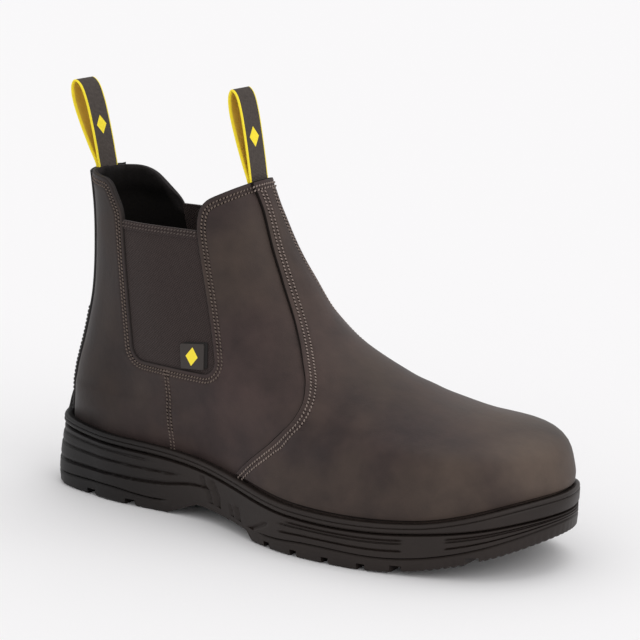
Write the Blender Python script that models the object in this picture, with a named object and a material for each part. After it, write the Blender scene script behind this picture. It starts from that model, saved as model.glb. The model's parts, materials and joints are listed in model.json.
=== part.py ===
"""A right-foot side gore work boot, modelled as the pieces that a bootmaker puts together.

The boot stands on its sole. +X points to the toe, +Y to the medial side (the inner side of a right
foot), +Z up. The origin is on the floor under the middle of the sole. Tables and sizes are in
millimetres, and every mesh is made in metres.
"""

import math

import bmesh
import bpy
import numpy as np

MM = 0.001

# Driving sizes of the boot
SOLE_LENGTH = 305.0
BALL_WIDTH = 116.0
LEATHER = 2.0  # wall of the upper, leather with its lining
OVERLAY = 1.4  # thickness of a leather lap over the wall
GAP = 0.3  # running gap between pieces that meet

# Sole
UPPER_INSET = 5.0  # from the sole's outline to the upper's wall
RIM_HEIGHT = 5.6
RIM_LIP = 0.5  # the rim stands this far outside the midsole
TREAD_BEVEL = 2.0
CHANNEL_DEPTH = 3.6
TOE_SPRING = 19.5
SPRING_START = 62.0
HEEL_BEVEL = 2.0
HEEL_BEVEL_START = -136.0
HEEL_LEAN = 3.4  # the wall leans in by this much at the heel's back
HEEL_TAB_RISE = 8.0
HEEL_TAB_HALF_WIDTH = 15.0
TOE_RIM_RISE = 4.4
INSOLE_THICKNESS = 4.0
INSOLE_CLEARANCE = 0.6

# Webbing
LOOP_WIDTH = 16.0
TAPE = 1.1
LOOP_SLOT_FOOT = 164.5  # height at which the slot for a loop's ends begins in the upper
BACKSTAY_HALF_WIDTH = 17.0
BACKSTAY_THICKNESS = 1.0

# Mesh density: columns round each ring, closer together at heel and toe than along the sides
COLUMNS = 48
END_CROWDING = 0.4
UPPER_ROWS = 20

# place, x, y as shares of half the sole's length and of half its greatest width
SOLE_OUTLINE = (
    ("heel back", -1.000, 0.000),
    ("heel back lateral", -0.942, -0.440),
    ("heel lateral", -0.720, -0.640),
    ("waist lateral", -0.250, -0.665),
    ("ball lateral", 0.190, -1.000),
    ("toe lateral", 0.610, -0.885),
    ("toe corner lateral", 0.868, -0.565),
    ("toe tip", 1.000, 0.080),
    ("toe corner medial", 0.908, 0.645),
    ("toe medial", 0.690, 0.885),
    ("ball medial", 0.340, 0.985),
    ("waist medial", -0.200, 0.690),
    ("heel medial", -0.700, 0.640),
    ("heel back medial", -0.938, 0.430),
)
TOE_TIP_ROW = 7

# x, height of the midsole's top, on which the upper, insole and rim sit
SEAT = (
    (-152.5, 33.8),
    (-115.0, 31.7),
    (-65.0, 29.6),
    (-20.0, 24.6),
    (30.0, 19.9),
    (80.0, 20.2),
    (120.0, 24.6),
    (152.5, 30.8),
)

# x, thickness of the tread under the midsole
TREAD = (
    (-152.5, 6.6),
    (-100.0, 8.2),
    (-64.0, 6.8),
    (-42.0, 11.6),
    (-14.0, 9.2),
    (6.0, 6.6),
    (40.0, 8.4),
    (100.0, 6.8),
    (152.5, 7.6),
)

# Side view of the arch that is cut out under the waist: x, height
ARCH = ((-64.0, -6.0), (-64.0, 0.0), (-42.0, 8.7), (-12.0, 6.3), (-3.0, 5.4), (1.0, 1.0), (2.5, -6.0))

# Grooves of the midsole's wall. Shares of the wall's height at heel, waist and forefoot; the x where
# the heel groove dies out and where the forefoot groove starts; depths at heel and forefoot
GROOVES = (
    ("low", 0.27, 0.46, 0.30, -28.0, 19.0, 1.5, 1.0),
    ("middle", 0.61, 0.68, 0.60, -49.0, 19.0, 1.0, 1.0),
    ("high", 0.85, 0.86, 0.86, -66.0, 19.0, 0.8, 0.0),
)
# Shape of a groove: height as a share of the wall's height, share of the groove's depth
GROOVE_PROFILE = ((-0.022, 0.0), (0.006, 1.0), (0.07, 0.0))
PLAIN_PANEL = (92.0, 110.0)  # the forefoot grooves are interrupted between these x

# Channels that run in from the edge of the tread: x, width
SIDE_CHANNELS = (
    (-112.0, 7.5),
    (-84.0, 7.5),
    (14.0, 4.0),
    (32.0, 4.0),
    (51.0, 4.0),
    (71.0, 4.5),
    (89.0, 6.0),
    (125.0, 7.0),
)
# Channels along the tread: start x, end x, distance from the middle
LONG_CHANNELS = ((-138.0, -70.0, 16.0), (8.0, 124.0, 18.0))
# x of the channels across the middle of the tread
MIDDLE_CHANNELS = (-126.0, -98.0, 23.0, 41.5, 61.0, 80.0, 106.0)
CHANNEL_WIDTH = 4.0  # of the channels along the tread and across its middle

# Sections of the last above the rim. Each is a closed ring on a tilted plane, from its back point to
# its front point: half widths at the heel, waist and ball of the ring, the length over which each
# end is rounded, and how far its front end leans to the medial side.
SECTION_COLUMNS = (
    "back_x", "back_z", "front_x", "front_z", "heel", "waist_lateral", "waist_medial",
    "ball_lateral", "ball_medial", "back_round", "front_round", "toe_lean",
)
SECTIONS = (
    ("wall", -143.5, 50.0, 144.8, 48.5, 34.5, 36.5, 34.5, 48.6, 49.0, 40.0, 66.0, 6.0),
    ("toe side", -143.2, 55.5, 141.2, 58.0, 34.5, 37.5, 35.5, 47.6, 48.0, 40.0, 64.0, 6.0),
    ("toe crown", -142.7, 60.5, 122.2, 61.2, 33.2, 37.5, 35.5, 44.6, 44.6, 40.0, 62.0, 6.0),
    ("vamp low", -141.7, 66.0, 98.3, 67.2, 32.4, 37.3, 35.8, 41.9, 41.5, 39.0, 64.0, 5.0),
    ("vamp", -139.8, 72.5, 73.7, 74.2, 32.0, 37.4, 36.4, 40.0, 39.0, 38.0, 66.0, 4.0),
    ("instep low", -137.4, 81.0, 47.0, 84.4, 31.4, 36.9, 35.9, 37.5, 36.5, 38.0, 64.0, 3.0),
    ("instep", -134.4, 93.0, 22.3, 97.8, 30.5, 36.0, 35.5, 35.0, 34.6, 37.0, 60.0, 2.0),
    ("ankle", -131.2, 109.0, 3.0, 117.5, 29.8, 34.8, 34.8, 33.2, 33.2, 36.0, 54.0, 1.0),
    ("shaft low", -129.9, 129.0, -11.3, 139.4, 29.2, 33.2, 33.2, 31.4, 31.4, 35.0, 46.0, 0.0),
    ("shaft", -130.3, 151.0, -21.0, 158.8, 28.4, 30.6, 30.6, 29.2, 29.2, 34.0, 40.0, 0.0),
    ("collar", -134.2, 180.0, -32.4, 184.0, 26.8, 28.2, 28.2, 27.6, 27.6, 33.0, 35.0, 0.0),
)
HEEL_SHARE, WAIST_SHARE, BALL_SHARE = 0.16, 0.42, 0.68

# Corners of the opening in side view, as x, z and corner radius: the collar line from the back peak,
# down the back edge of the gore window, along its foot and up to the front peak
COLLAR_CORNERS = (
    (-170.0, 174.0, 0.0),
    (-117.5, 171.0, 20.0),
    (-98.8, 152.0, 20.0),
    (-86.5, 79.5, 8.0),
    (-30.5, 79.5, 6.0),
    (-50.0, 152.0, 30.0),
    (-49.5, 165.5, 12.0),
    (-19.0, 181.5, 0.0),
)
COLLAR_TOP = 215.0
GORE_TOP = 151.5
GORE_RECESS = 0.9
GORE_THICKNESS = 1.3
TAG_THICKNESS = 0.8
TAG_CORNERS = ((-52.8, 80.2, 0.0), (-38.2, 81.4, 0.0), (-39.6, 94.6, 0.0), (-54.2, 93.0, 0.0))

# The front seam in side view, from the collar down to the sole: the vamp's edge
SEAM_CORNERS = (
    (-37.6, 190.0, 0.0),
    (-10.0, 130.0, 60.0),
    (27.1, 68.2, 9.0),
    (-27.9, 15.0, 0.0),
)

# Centreline of a pull loop in side view, from one sewn end over the top to the other: offset of the
# sewn end, sideways place of the strand as a share of the loop's width, and height
LOOP_PATH = (
    (-0.75, 0.00, 0.0),
    (-0.75, 0.00, 9.5),
    (-0.40, -0.30, 20.0),
    (0.00, -0.60, 32.0),
    (0.00, -0.74, 44.0),
    (0.00, -0.62, 52.5),
    (0.00, -0.25, 56.6),
    (0.00, 0.14, 53.5),
    (0.00, 0.28, 45.0),
    (0.00, 0.27, 33.0),
    (0.40, 0.14, 20.0),
    (0.75, 0.00, 9.5),
    (0.75, 0.00, 0.0),
)
LOOP_SEWN_ROW, LOOP_TOP_ROW = 1, 6
# Name, x of the sewn ends, height of their foot, how far they lean back in the slot and how far the
# loop leans back above it, height scale, width of the loop
LOOPS = (
    ("pull_loop_back", -129.1, 165.5, 1.1, 13.0, 0.92, 8.6),
    ("pull_loop_front", -27.6, 166.0, 4.2, 9.8, 0.98, 6.8),
)


def smoothstep(low, high, value):
    share = np.clip((value - low) / (high - low), 0.0, 1.0)
    return share * share * (3.0 - 2.0 * share)


def spline(knots, values, at):
    """Smooth curve through values at the knots, evaluated at one or more places."""
    knots = np.asarray(knots, float)
    values = np.asarray(values, float)
    at = np.asarray(at, float)
    extra = (1,) * (values.ndim - 1)
    step = np.diff(knots)
    wide = step.reshape(-1, *extra)
    slope = np.diff(values, axis=0) / wide
    tangent = np.empty_like(values)
    tangent[0], tangent[-1] = slope[0], slope[-1]
    tangent[1:-1] = (slope[:-1] * wide[1:] + slope[1:] * wide[:-1]) / (wide[:-1] + wide[1:])
    span = np.clip(np.searchsorted(knots, at, "right") - 1, 0, len(step) - 1)
    t = ((at - knots[span]) / step[span]).reshape(*at.shape, *extra)
    width = wide[span]
    return (
        (2 * t**3 - 3 * t**2 + 1) * values[span]
        + (t**3 - 2 * t**2 + t) * width * tangent[span]
        + (3 * t**2 - 2 * t**3) * values[span + 1]
        + (t**3 - t**2) * width * tangent[span + 1]
    )


def spaced_points(curve, count):
    """count + 1 points along a dense polyline, ends included, closer together near its ends."""
    distance = np.concatenate([[0.0], np.cumsum(np.linalg.norm(np.diff(curve, axis=0), axis=1))])
    share = np.linspace(0.0, 1.0, count + 1)
    share -= END_CROWDING * np.sin(2.0 * math.pi * share) / (2.0 * math.pi)
    wanted = share * distance[-1]
    return np.column_stack([np.interp(wanted, distance, axis) for axis in curve.T])


def join_halves(lateral, medial):
    """One closed ring: heel back, lateral side, toe, medial side. Both halves run heel to toe."""
    return np.vstack([lateral, medial[-2:0:-1]])


def sole_outline():
    """The sole's outline as x, y, starting at the heel's back and passing the lateral side first."""
    corners = np.array([row[1:] for row in SOLE_OUTLINE]) * (SOLE_LENGTH / 2, BALL_WIDTH / 2)
    padded = np.vstack([corners[-2:], corners, corners[:3]])
    chord = np.linalg.norm(np.diff(padded, axis=0), axis=1)
    knots = np.concatenate([[0.0], np.cumsum(chord)])
    start, tip, end = knots[2], knots[2 + TOE_TIP_ROW], knots[2 + len(corners)]
    lateral = spline(knots, padded, np.linspace(start, tip, 400))
    medial = spline(knots, padded, np.linspace(end, tip, 400))
    outline = join_halves(spaced_points(lateral, COLUMNS // 2), spaced_points(medial, COLUMNS // 2))
    centre = (outline.max(axis=0) + outline.min(axis=0)) / 2.0
    # The rim overhangs the toe, but not the leaning heel
    return outline - centre - (RIM_LIP / 2.0, 0.0)


def inset(outline, distance):
    """The outline moved inwards by a distance, which may differ from point to point."""
    along = np.roll(outline, -1, axis=0) - np.roll(outline, 1, axis=0)
    along /= np.linalg.norm(along, axis=1)[:, None]
    inwards = np.column_stack([-along[:, 1], along[:, 0]])
    return outline + inwards * np.reshape(distance, (-1, 1))


def at_stations(table, x):
    table = np.array(table)
    return spline(table[:, 0], table[:, 1], np.clip(x, table[0, 0], table[-1, 0]))


def floor_height(x):
    """Underside of the tread, arch apart: flat, with toe spring and a bevel at the heel's back."""
    spring = np.clip((x - SPRING_START) / (SOLE_LENGTH / 2 - SPRING_START), 0.0, 1.0)
    bevel = np.clip((HEEL_BEVEL_START - x) / (SOLE_LENGTH / 2 + HEEL_BEVEL_START), 0.0, 1.0)
    return TOE_SPRING * spring**2 + HEEL_BEVEL * bevel**2


def tread_top(x):
    return floor_height(x) + at_stations(TREAD, x)


def seat_height(x):
    return at_stations(SEAT, x)


def heel_lean(x):
    return HEEL_LEAN * smoothstep(-108.0, -152.0, x)


def upper_foot():
    """Outline on which the upper stands, inside the rim."""
    outline = sole_outline()
    return inset(outline, UPPER_INSET + heel_lean(outline[:, 0]))


def rim_line(x):
    """Top of the rim without its heel tab: level above the seat and higher round the toe."""
    return seat_height(x) + RIM_HEIGHT + TOE_RIM_RISE * smoothstep(95.0, 150.0, x)


def rim_top(x, y):
    """Top of the rim, with the tab at the back of the heel."""
    heel = smoothstep(-130.0, -144.0, x)
    tab = 1.0 - smoothstep(0.45, 1.0, np.abs(y) / HEEL_TAB_HALF_WIDTH)
    return rim_line(x) + HEEL_TAB_RISE * heel * tab


def section_ring(row):
    """A closed ring of points for one row of the table of sections."""
    size = dict(zip(SECTION_COLUMNS, row[1:]))
    back = np.array([size["back_x"], size["back_z"]])
    front = np.array([size["front_x"], size["front_z"]])
    length = np.linalg.norm(front - back)
    share = (1.0 - np.cos(np.linspace(0.0, math.pi, 400))) / 2.0
    from_back = np.clip(share * length / size["back_round"], 0.0, 1.0)
    from_front = np.clip((1.0 - share) * length / size["front_round"], 0.0, 1.0)
    rounding = np.sqrt(1.0 - (1.0 - from_back) ** 2.2) * np.sqrt(1.0 - (1.0 - from_front) ** 2.2)
    lean = size["toe_lean"] * smoothstep(0.5, 1.0, share)
    knots = (0.0, HEEL_SHARE, WAIST_SHARE, BALL_SHARE, 1.0)
    halves = []
    for side, sign in (("lateral", -1.0), ("medial", 1.0)):
        waist, ball = size["waist_" + side], size["ball_" + side]
        half_width = spline(knots, (size["heel"], size["heel"], waist, ball, ball), share)
        across = sign * half_width * rounding + lean
        centre = back + share[:, None] * (front - back)
        curve = np.column_stack([centre[:, 0], across, centre[:, 1]])
        halves.append(spaced_points(curve, COLUMNS // 2))
    return join_halves(*halves)


def upper_surface():
    """Grid of points over the last, one ring a row, from the sole to above the collar."""
    foot = upper_foot()
    rim = rim_line(sole_outline()[:, 0])
    keys = [np.column_stack([foot, seat_height(foot[:, 0]) + GAP]), np.column_stack([foot, rim + GAP])]
    keys += [section_ring(row) for row in SECTIONS]
    keys = np.array(keys)
    steps = np.linalg.norm(np.diff(keys, axis=0), axis=2)
    steps = (steps.mean(axis=1) + steps.max(axis=1)) / 2.0
    knots = np.concatenate([[0.0], np.cumsum(steps)])
    levels = np.concatenate([[0.0], np.linspace(knots[1], knots[-1], UPPER_ROWS)])
    return spline(knots, keys, levels)


def surface_normals(grid):
    """Outward unit normals of the grid. At the sole and at the collar they lie level."""
    around = np.roll(grid, -1, axis=1) - np.roll(grid, 1, axis=1)
    upwards = np.gradient(grid, axis=0)
    normal = np.cross(around, upwards)
    normal[:2, :, 2] = 0.0
    normal[-1, :, 2] = 0.0
    return normal / np.linalg.norm(normal, axis=2)[:, :, None]


def rounded(corners, arc_step=15.0):
    """Points of an outline whose corners, given as x, z and radius, are rounded by arcs."""
    points = []
    for i, (x, z, radius) in enumerate(corners):
        here = np.array([x, z])
        if radius == 0.0:
            points.append(here)
            continue
        before = np.array(corners[i - 1][:2]) - here
        after = np.array(corners[(i + 1) % len(corners)][:2]) - here
        before /= np.linalg.norm(before)
        after /= np.linalg.norm(after)
        half_angle = math.acos(np.clip(before @ after, -1.0, 1.0)) / 2.0
        middle = (before + after) / np.linalg.norm(before + after)
        centre = here + middle * radius / math.sin(half_angle)
        start = here + before * radius / math.tan(half_angle) - centre
        turn = math.pi - 2.0 * half_angle
        turn *= math.copysign(1.0, before[1] * after[0] - before[0] * after[1])
        steps = max(2, math.ceil(abs(math.degrees(turn)) / arc_step))
        for angle in np.linspace(0.0, turn, steps + 1):
            c = math.cos(angle)
            s = math.sin(angle)
            points.append(centre + np.array([c * start[0] - s * start[1], s * start[0] + c * start[1]]))
    return np.array(points)


def mesh_object(name, points, faces, collection):
    """A mesh object from points in millimetres."""
    mesh = bpy.data.meshes.new(name)
    mesh.from_pydata([tuple(p) for p in np.asarray(points) * MM], [], faces)
    mesh.validate()
    work = bmesh.new()
    work.from_mesh(mesh)
    bmesh.ops.recalc_face_normals(work, faces=work.faces)
    work.to_mesh(mesh)
    work.free()
    obj = bpy.data.objects.new(name, mesh)
    collection.objects.link(obj)
    return obj


def ring_faces(ring_count, columns, closed_profile=False):
    """Quads between successive rings of equal length. A closed profile joins the last to the first."""
    faces = []
    for r in range(ring_count if closed_profile else ring_count - 1):
        low, high = r * columns, ((r + 1) % ring_count) * columns
        for c in range(columns):
            d = (c + 1) % columns
            faces.append((low + c, low + d, high + d, high + c))
    return faces


def strip_cap(base, upwards):
    """Triangles that close a ring by strips across it, from its lateral to its medial side."""
    faces = [(base, base + 1, base + COLUMNS - 1)]
    for i in range(1, COLUMNS // 2 - 1):
        lateral, ahead = base + i, base + i + 1
        medial_ahead, medial = base + COLUMNS - i - 1, base + COLUMNS - i
        faces += [(lateral, ahead, medial_ahead), (lateral, medial_ahead, medial)]
    middle = base + COLUMNS // 2
    faces.append((middle - 1, middle, middle + 1))
    return faces if upwards else [face[::-1] for face in faces]


def skin_faces(base, rows, outwards):
    """Triangles of a grid of rings. Skins one over the other get the same diagonals."""
    faces = []
    for r in range(rows - 1):
        low, high = base + r * COLUMNS, base + (r + 1) * COLUMNS
        for c in range(COLUMNS):
            d = (c + 1) % COLUMNS
            faces += [(low + c, low + d, high + d), (low + c, high + d, high + c)]
    return faces if outwards else [face[::-1] for face in faces]


def stacked(name, rings, collection):
    """A closed solid from rings stacked upwards, with a strip cap at each end."""
    faces = ring_faces(len(rings), COLUMNS)
    faces += strip_cap(0, upwards=False)
    faces += strip_cap((len(rings) - 1) * COLUMNS, upwards=True)
    return mesh_object(name, np.vstack(rings), faces, collection)


def shell(name, outer, inner, collection, first_row=0):
    """A skin of the last between two offsets from the upper's outer surface, open at both ends."""
    grid = upper_surface()
    normal = surface_normals(grid)
    outside = (grid + normal * outer)[first_row:]
    inside = (grid + normal * inner)[first_row:]
    rows = len(outside)
    inner_base = rows * COLUMNS
    faces = skin_faces(0, rows, outwards=True) + skin_faces(inner_base, rows, outwards=False)
    for c in range(COLUMNS):
        d = (c + 1) % COLUMNS
        top = inner_base - COLUMNS
        faces.append((d, c, inner_base + c, inner_base + d))
        faces.append((top + c, top + d, top + inner_base + d, top + inner_base + c))
    return mesh_object(name, np.concatenate([outside, inside]).reshape(-1, 3), faces, collection)


def extruded(name, outline, axis, low, high, collection):
    """A closed outline drawn out along X or Y. Its points are y, z or x, z."""
    count = len(outline)
    points = []
    for level in (low, high):
        points += [(level, u, z) if axis == "X" else (u, level, z) for u, z in outline]
    faces = [tuple(range(count)), tuple(range(2 * count - 1, count - 1, -1))]
    faces += [(i, (i + 1) % count, count + (i + 1) % count, count + i) for i in range(count)]
    return mesh_object(name, points, faces, collection)


def as_cutter(obj):
    obj.hide_render = True
    obj.display_type = "WIRE"
    return obj


def cutter(name, outline, axis, low, high, collection):
    return as_cutter(extruded(name, outline, axis, low, high, collection))


def boolean(obj, other, operation):
    modifier = obj.modifiers.new(operation.lower() + " " + other.name, "BOOLEAN")
    modifier.operation = operation
    modifier.solver = "EXACT"
    modifier.object = other


def finish_material(name, colour, roughness):
    material = bpy.data.materials.new(name)
    material.use_nodes = True
    shader = material.node_tree.nodes["Principled BSDF"]
    shader.inputs["Base Color"].default_value = (*colour, 1.0)
    shader.inputs["Roughness"].default_value = roughness
    shader.inputs["Metallic"].default_value = 0.0
    return material


def groove_depth(row, x):
    heel_end, forefoot_start, heel_depth, forefoot_depth = row[4:]
    at_heel = heel_depth * (1.0 - smoothstep(heel_end - 14.0, heel_end, x))
    panel_start, panel_end = PLAIN_PANEL
    panel = smoothstep(panel_start - 5.0, panel_start, x) * (1.0 - smoothstep(panel_end, panel_end + 5.0, x))
    at_forefoot = forefoot_depth * smoothstep(forefoot_start, forefoot_start + 8.0, x) * (1.0 - panel)
    return at_heel + at_forefoot


def groove_share(row, x):
    heel, waist, forefoot = row[1:4]
    to_waist = smoothstep(-110.0, -30.0, x)
    to_forefoot = smoothstep(-30.0, 20.0, x)
    return heel + (waist - heel) * to_waist + (forefoot - waist) * to_forefoot


def make_midsole(collection):
    """Wall of the sole, with grooves round heel and forefoot that die out at the waist."""
    outline = sole_outline()
    x = outline[:, 0]
    low = tread_top(x) + GAP
    high = seat_height(x)
    lean = heel_lean(x)
    rings = [np.column_stack([inset(outline, 0.9), low]), np.column_stack([outline, low + 0.9])]
    for row in GROOVES:
        share = groove_share(row, x)
        wall = lean * share**1.6
        for lift, part in GROOVE_PROFILE:
            height = low + (share + lift) * (high - low)
            rings.append(np.column_stack([inset(outline, wall + part * groove_depth(row, x)), height]))
    rings.append(np.column_stack([inset(outline, lean + 0.2), high - 0.6]))
    rings.append(np.column_stack([inset(outline, lean + 1.2), high]))
    return stacked("midsole", rings, collection)


def make_rim(collection):
    """The rim of the sole, a raised band that cups the foot of the upper."""
    outline = sole_outline()
    x, y = outline.T
    low = seat_height(x) + GAP
    high = rim_top(x, y)
    lean = heel_lean(x)
    inner = UPPER_INSET - GAP + lean
    profile = (
        (inner, low),
        (lean + 1.2, low),
        (lean - RIM_LIP, low + 1.3),
        (lean - RIM_LIP, high - 2.0),
        (lean + 0.5, high - 0.5),
        (lean + 1.8, high),
        (inner, high),
    )
    rings = [np.column_stack([inset(outline, distance), height]) for distance, height in profile]
    faces = ring_faces(len(rings), COLUMNS, closed_profile=True)
    return mesh_object("rim", np.vstack(rings), faces, collection)


def channel(name, path, width, collection):
    """A cutter along a path on the underside, as x and y, whose roof follows the floor line."""
    path = np.asarray(path, float)
    along = np.gradient(path, axis=0)
    along /= np.linalg.norm(along, axis=1)[:, None]
    side = np.column_stack([-along[:, 1], along[:, 0]]) * width / 2.0
    rings = []
    for centre, offset in zip(path, side):
        roof = floor_height(centre[0]) + CHANNEL_DEPTH
        right, left = centre - offset, centre + offset
        rings.append([(*right, -8.0), (*left, -8.0), (*left, roof), (*right, roof)])
    faces = ring_faces(len(rings), 4)
    faces += [(3, 2, 1, 0), tuple(4 * (len(rings) - 1) + i for i in range(4))]
    return as_cutter(mesh_object(name, np.vstack(rings), faces, collection))


def make_outsole(collection, cutters):
    """Tread: one plate from heel to toe, cut by the arch and by channels into lugs."""
    outline = sole_outline()
    x = outline[:, 0]
    floor = floor_height(x)
    top = tread_top(x)
    rings = [
        np.column_stack([inset(outline, TREAD_BEVEL), floor]),
        np.column_stack([inset(outline, 0.4), floor + 1.5]),
        np.column_stack([outline, top - 0.9]),
        np.column_stack([inset(outline, 0.9), top]),
    ]
    plate = stacked("outsole", rings, collection)
    boolean(plate, cutter("arch", ARCH, "Y", -80.0, 80.0, cutters), "DIFFERENCE")
    tread = bpy.data.collections.new("tread channels")
    cutters.children.link(tread)
    for n, (station, width) in enumerate(SIDE_CHANNELS):
        for side in (-1.0, 1.0):
            path = [(station - 3.0, side * 18.0), (station, side * 70.0)]
            channel(f"side channel {n} {side:+.0f}", path, width, tread)
    for n, (start, end, y) in enumerate(LONG_CHANNELS):
        for side in (-1.0, 1.0):
            path = [(px, side * y) for px in np.linspace(start, end, 7)]
            channel(f"long channel {n} {side:+.0f}", path, CHANNEL_WIDTH, tread)
    for n, station in enumerate(MIDDLE_CHANNELS):
        path = [(station, -17.0), (station + 3.0, 0.0), (station, 17.0)]
        channel(f"middle channel {n}", path, CHANNEL_WIDTH, tread)
    modifier = plate.modifiers.new("lugs", "BOOLEAN")
    modifier.operation = "DIFFERENCE"
    modifier.solver = "EXACT"
    modifier.operand_type = "COLLECTION"
    modifier.collection = tread
    return plate


def make_insole(collection):
    outline = inset(upper_foot(), LEATHER + INSOLE_CLEARANCE)
    seat = seat_height(outline[:, 0]) + GAP
    rings = [
        np.column_stack([outline, seat]),
        np.column_stack([outline, seat + INSOLE_THICKNESS - 0.8]),
        np.column_stack([inset(outline, 0.8), seat + INSOLE_THICKNESS]),
    ]
    return stacked("insole", rings, collection)


def collar_outline():
    """Closed outline of all that the collar line and the gore windows leave open."""
    line = rounded(COLLAR_CORNERS)
    return np.vstack([line, [(line[-1, 0], COLLAR_TOP), (line[0, 0], COLLAR_TOP)]])


def gore_outline(clearance):
    """The gore window up to the gore's own top edge, made smaller by a clearance."""
    back, back_foot, front_foot, front = COLLAR_CORNERS[2:6]
    corners = (
        (back[0] + clearance, GORE_TOP, 0.0),
        (back_foot[0] + clearance, back_foot[1] + clearance, back_foot[2]),
        (front_foot[0] - clearance, front_foot[1] + clearance, front_foot[2]),
        (front[0] - clearance, GORE_TOP, 0.0),
    )
    return rounded(corners)


def loop_slot():
    """Seen from the front: the slot in the upper's edge that takes a loop's sewn ends."""
    half = LOOP_WIDTH / 2.0 + GAP
    return ((-half, LOOP_SLOT_FOOT), (half, LOOP_SLOT_FOOT), (half, COLLAR_TOP), (-half, COLLAR_TOP))


def make_upper(collection, cutters):
    upper = shell("upper", 0.0, -LEATHER, collection)
    opening = cutter("collar and gore opening", collar_outline(), "Y", -90.0, 90.0, cutters)
    boolean(upper, opening, "DIFFERENCE")
    for place, back, front in (("back", -160.0, -110.0), ("front", -60.0, -10.0)):
        slot = cutter("slot at the " + place, loop_slot(), "X", back, front, cutters)
        boolean(upper, slot, "DIFFERENCE")
    return upper


def make_gore(side, collection, cutters):
    sign = -1.0 if side == "lateral" else 1.0
    gore = shell("gore_" + side, -GORE_RECESS, -GORE_RECESS - GORE_THICKNESS, collection)
    reach = sorted((sign * 4.0, sign * 90.0))
    window = cutter("gore window " + side, gore_outline(GAP), "Y", *reach, cutters)
    boolean(gore, window, "INTERSECT")
    return gore


def make_tag(collection, cutters):
    inner = GAP - GORE_RECESS
    tag = shell("gore_tag", inner + TAG_THICKNESS, inner, collection)
    outline = cutter("tag outline", rounded(TAG_CORNERS), "Y", -90.0, -4.0, cutters)
    boolean(tag, outline, "INTERSECT")
    return tag


def vamp_outline():
    seam = rounded(SEAM_CORNERS)
    return np.vstack([seam, [(200.0, seam[-1, 1]), (200.0, COLLAR_TOP)]])


def make_vamp(collection, cutters):
    vamp = shell("vamp", GAP + OVERLAY, GAP, collection, first_row=1)
    outline = cutter("vamp outline", vamp_outline(), "Y", -90.0, 90.0, cutters)
    boolean(vamp, outline, "INTERSECT")
    collar = cutter("vamp collar line", collar_outline(), "Y", -90.0, 90.0, cutters)
    boolean(vamp, collar, "DIFFERENCE")
    return vamp


def make_backstay(collection, cutters):
    """Strip down the back line, from the collar to the sole's heel tab."""
    half = BACKSTAY_HALF_WIDTH
    y = np.linspace(half, -half, 9)
    foot = rim_top(np.full_like(y, -SOLE_LENGTH / 2), y) + 2.0 * GAP
    top = [(-half + 2.0, COLLAR_TOP), (half - 2.0, COLLAR_TOP)]
    backstay = shell("backstay", GAP + BACKSTAY_THICKNESS, GAP, collection, first_row=1)
    outline = cutter(
        "backstay outline", np.vstack([top, np.column_stack([y, foot])]), "X", -180.0, -100.0, cutters
    )
    boolean(backstay, outline, "INTERSECT")
    collar = cutter("backstay collar line", collar_outline(), "Y", -90.0, 90.0, cutters)
    boolean(backstay, collar, "DIFFERENCE")
    return backstay


def make_loop(name, base_x, base_z, sewn_lean, top_lean, scale, width, collection):
    """A strip of webbing bent into a loop, with both ends side by side at the foot."""
    knots = np.arange(len(LOOP_PATH), dtype=float)
    path = spline(knots, np.array(LOOP_PATH), np.linspace(0.0, knots[-1], 2 * len(LOOP_PATH) + 7))
    sewn, spread, height = path.T
    sewn_height, top_height = LOOP_PATH[LOOP_SEWN_ROW][2], LOOP_PATH[LOOP_TOP_ROW][2]
    back = sewn_lean * np.clip(height / sewn_height, 0.0, 1.0)
    back += top_lean * np.clip((height - sewn_height) / (top_height - sewn_height), 0.0, 1.0)
    line = np.column_stack([base_x + sewn + spread * width - back, base_z + height * scale])
    along = np.gradient(line, axis=0)
    along[0] = along[-1] = (0.0, 1.0)
    along[-1] *= -1.0
    along /= np.linalg.norm(along, axis=1)[:, None]
    side = np.column_stack([-along[:, 1], along[:, 0]]) * TAPE / 2.0
    outline = np.vstack([line + side, (line - side)[::-1]])
    count = len(line)
    half = LOOP_WIDTH / 2.0
    points = [(x, y, z) for y in (-half, half) for x, z in outline]
    last = 2 * count - 1
    faces = []
    for i in range(count - 1):
        quad = (i, i + 1, last - i - 1, last - i)
        faces += [quad[::-1], tuple(p + 2 * count for p in quad)]
    for i in range(2 * count):
        ahead = (i + 1) % (2 * count)
        faces.append((i, ahead, 2 * count + ahead, 2 * count + i))
    return mesh_object(name, points, faces, collection)


def clear_scene():
    for obj in list(bpy.data.objects):
        bpy.data.objects.remove(obj, do_unlink=True)


def main():
    clear_scene()
    boot = bpy.data.collections.new("side gore work boot")
    cutters = bpy.data.collections.new("cutters")
    bpy.context.scene.collection.children.link(boot)
    bpy.context.scene.collection.children.link(cutters)
    leather = finish_material("oiled nubuck", (0.045, 0.033, 0.028), 0.62)
    rubber = finish_material("black polyurethane", (0.012, 0.012, 0.012), 0.55)
    elastic = finish_material("elastic webbing", (0.022, 0.017, 0.016), 0.85)
    board = finish_material("insole board", (0.03, 0.03, 0.03), 0.9)
    tape = finish_material("woven tape", (0.03, 0.025, 0.02), 0.8)
    made = [(make_outsole(boot, cutters), rubber), (make_midsole(boot), rubber), (make_rim(boot), rubber)]
    made += [(make_insole(boot), board), (make_upper(boot, cutters), leather)]
    made += [(make_vamp(boot, cutters), leather)]
    made += [(make_backstay(boot, cutters), leather), (make_tag(boot, cutters), tape)]
    made += [(make_gore(side, boot, cutters), elastic) for side in ("lateral", "medial")]
    made += [(make_loop(*row, boot), tape) for row in LOOPS]
    for piece, material in made:
        piece.data.materials.append(material)


main()
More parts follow.
